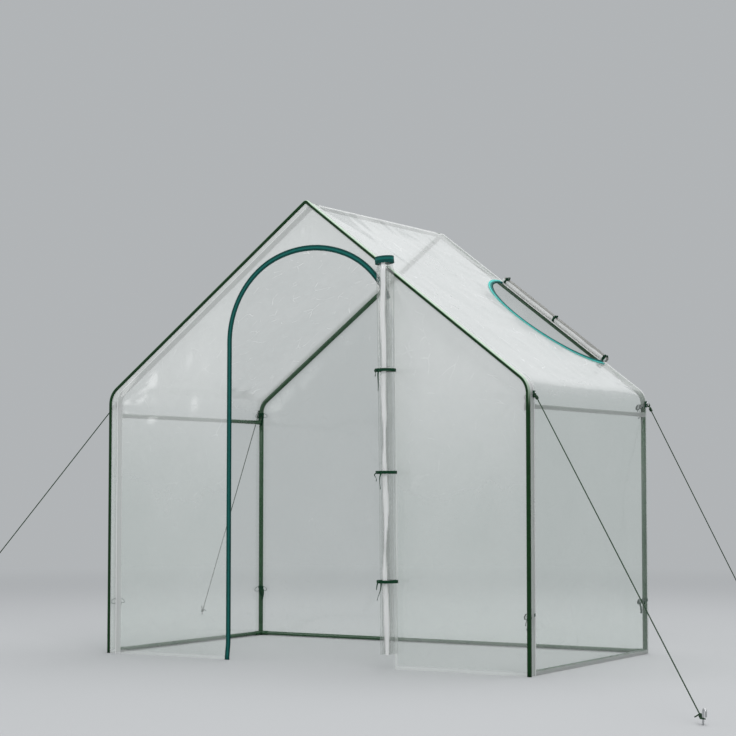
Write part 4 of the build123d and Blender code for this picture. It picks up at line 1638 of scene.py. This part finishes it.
corners = [(end, side) for end in ends for side in sides]
tabs = [part for end, side in corners for part in makeTab(end, side)]
finished(joined("guyTabs", tabs), tieTape, "green_tape", "guy_tabs")
rings = [makeRing(end, side) for end, side in corners]
finished(joined("guyRings", rings), pegZinc, "peg_steel", "guy_tabs")
pegs = [makePeg(end, side) for end, side in corners]
finished(joined("groundPegs", pegs), pegZinc, "peg_steel", "ground_pegs")
for end, side in corners:
    rope = ropePiece(camelName("guy_rope_" + end + "_" + side), ropePath(end, side))
    finished(rope, ropeFibre, "green_rope", end + "_" + side + "_guy_rope")
print("tabs, ropes and pegs made")


# Camera, light, floor
camera = bpy.data.objects.new("camera", bpy.data.cameras.new("camera"))
camera.data.lens = 93.1
camera.data.sensor_width = 36
camera.location = (3.753, -6.342, 0.650)
camera.rotation_euler = (math.radians(93.48), 0, math.radians(30.92))
scene.collection.objects.link(camera)
scene.camera = camera
scene.view_settings.view_transform = "Standard"
scene.cycles.transparent_max_bounces = 64

studio = {
    "floor": (0.45, 0.457, 0.462), "backdrop": (0.44, 0.457, 0.47), "sky": (0.93, 0.96, 1), "ambient": 0.55,
    "fadeFrom": 3.0, "fadeTo": 8.0, "keyPower": 200, "fillPower": 150, "topPower": 250, "backPower": 20,
}


def makeStudio():
    bpy.ops.mesh.primitive_plane_add(size=80, location=(0, 0, -0.0005))
    floor = bpy.context.object
    floor.name = "studioFloor"
    material, tree, shader = materialOf("studioFloor")
    floor.data.materials.append(material)
    feed(tree, shader, {"Base Color": studio["floor"], "Roughness": 0.9, "Specular IOR Level": 0.1})
    away = added(tree, "VectorMath", {0: objectPlace(tree)}, operation="LENGTH").outputs["Value"]
    fade = ranged(tree, away, studio["fadeFrom"], studio["fadeTo"], kind="SMOOTHSTEP")
    glow = added(tree, "Emission", {"Color": studio["backdrop"]}).outputs[0]
    feed(tree, tree[0]["Material Output"], {"Surface": mixShaders(tree, fade, shader.outputs[0], glow)})
    world = bpy.data.worlds.new("studio")
    scene.world = world
    world.use_nodes = True
    tree = (world.node_tree.nodes, world.node_tree.links)
    light = tree[0]["Background"]
    feed(tree, light, {"Color": studio["sky"], "Strength": studio["ambient"]})
    backdrop = added(tree, "Background", {"Color": studio["backdrop"]}).outputs[0]
    # the backdrop is what is seen, in reflections too, and the sky only lights
    path = added(tree, "LightPath").outputs
    seen = calc(tree, "MAXIMUM", path["Is Camera Ray"], path["Is Glossy Ray"])
    seen = calc(tree, "MAXIMUM", seen, path["Is Transmission Ray"])
    feed(tree, tree[0]["World Output"], {"Surface": mixShaders(tree, seen, light.outputs[0], backdrop)})


def softBox(name, place, power, size, target=(0, 0, 0.8)):
    lamp = bpy.data.lights.new(name, "AREA")
    lamp.shape = "RECTANGLE"
    lamp.size, lamp.size_y = size
    lamp.energy = power
    box = bpy.data.objects.new(name, lamp)
    box.location = place
    box.rotation_euler = (Vector(target) - Vector(place)).to_track_quat("-Z", "Y").to_euler()
    scene.collection.objects.link(box)


makeStudio()
softBox("keyLight", (3.6, -4.8, 5.2), studio["keyPower"], (3.6, 3.6))
softBox("fillLight", (-7.0, -4.5, 3.5), studio["fillPower"], (5, 4))
softBox("topLight", (0.5, 1.5, 6.5), studio["topPower"], (6, 5))
softBox("backLight", (-1.0, 7.5, 4.6), studio["backPower"], (6, 2.4))
print("studio made")
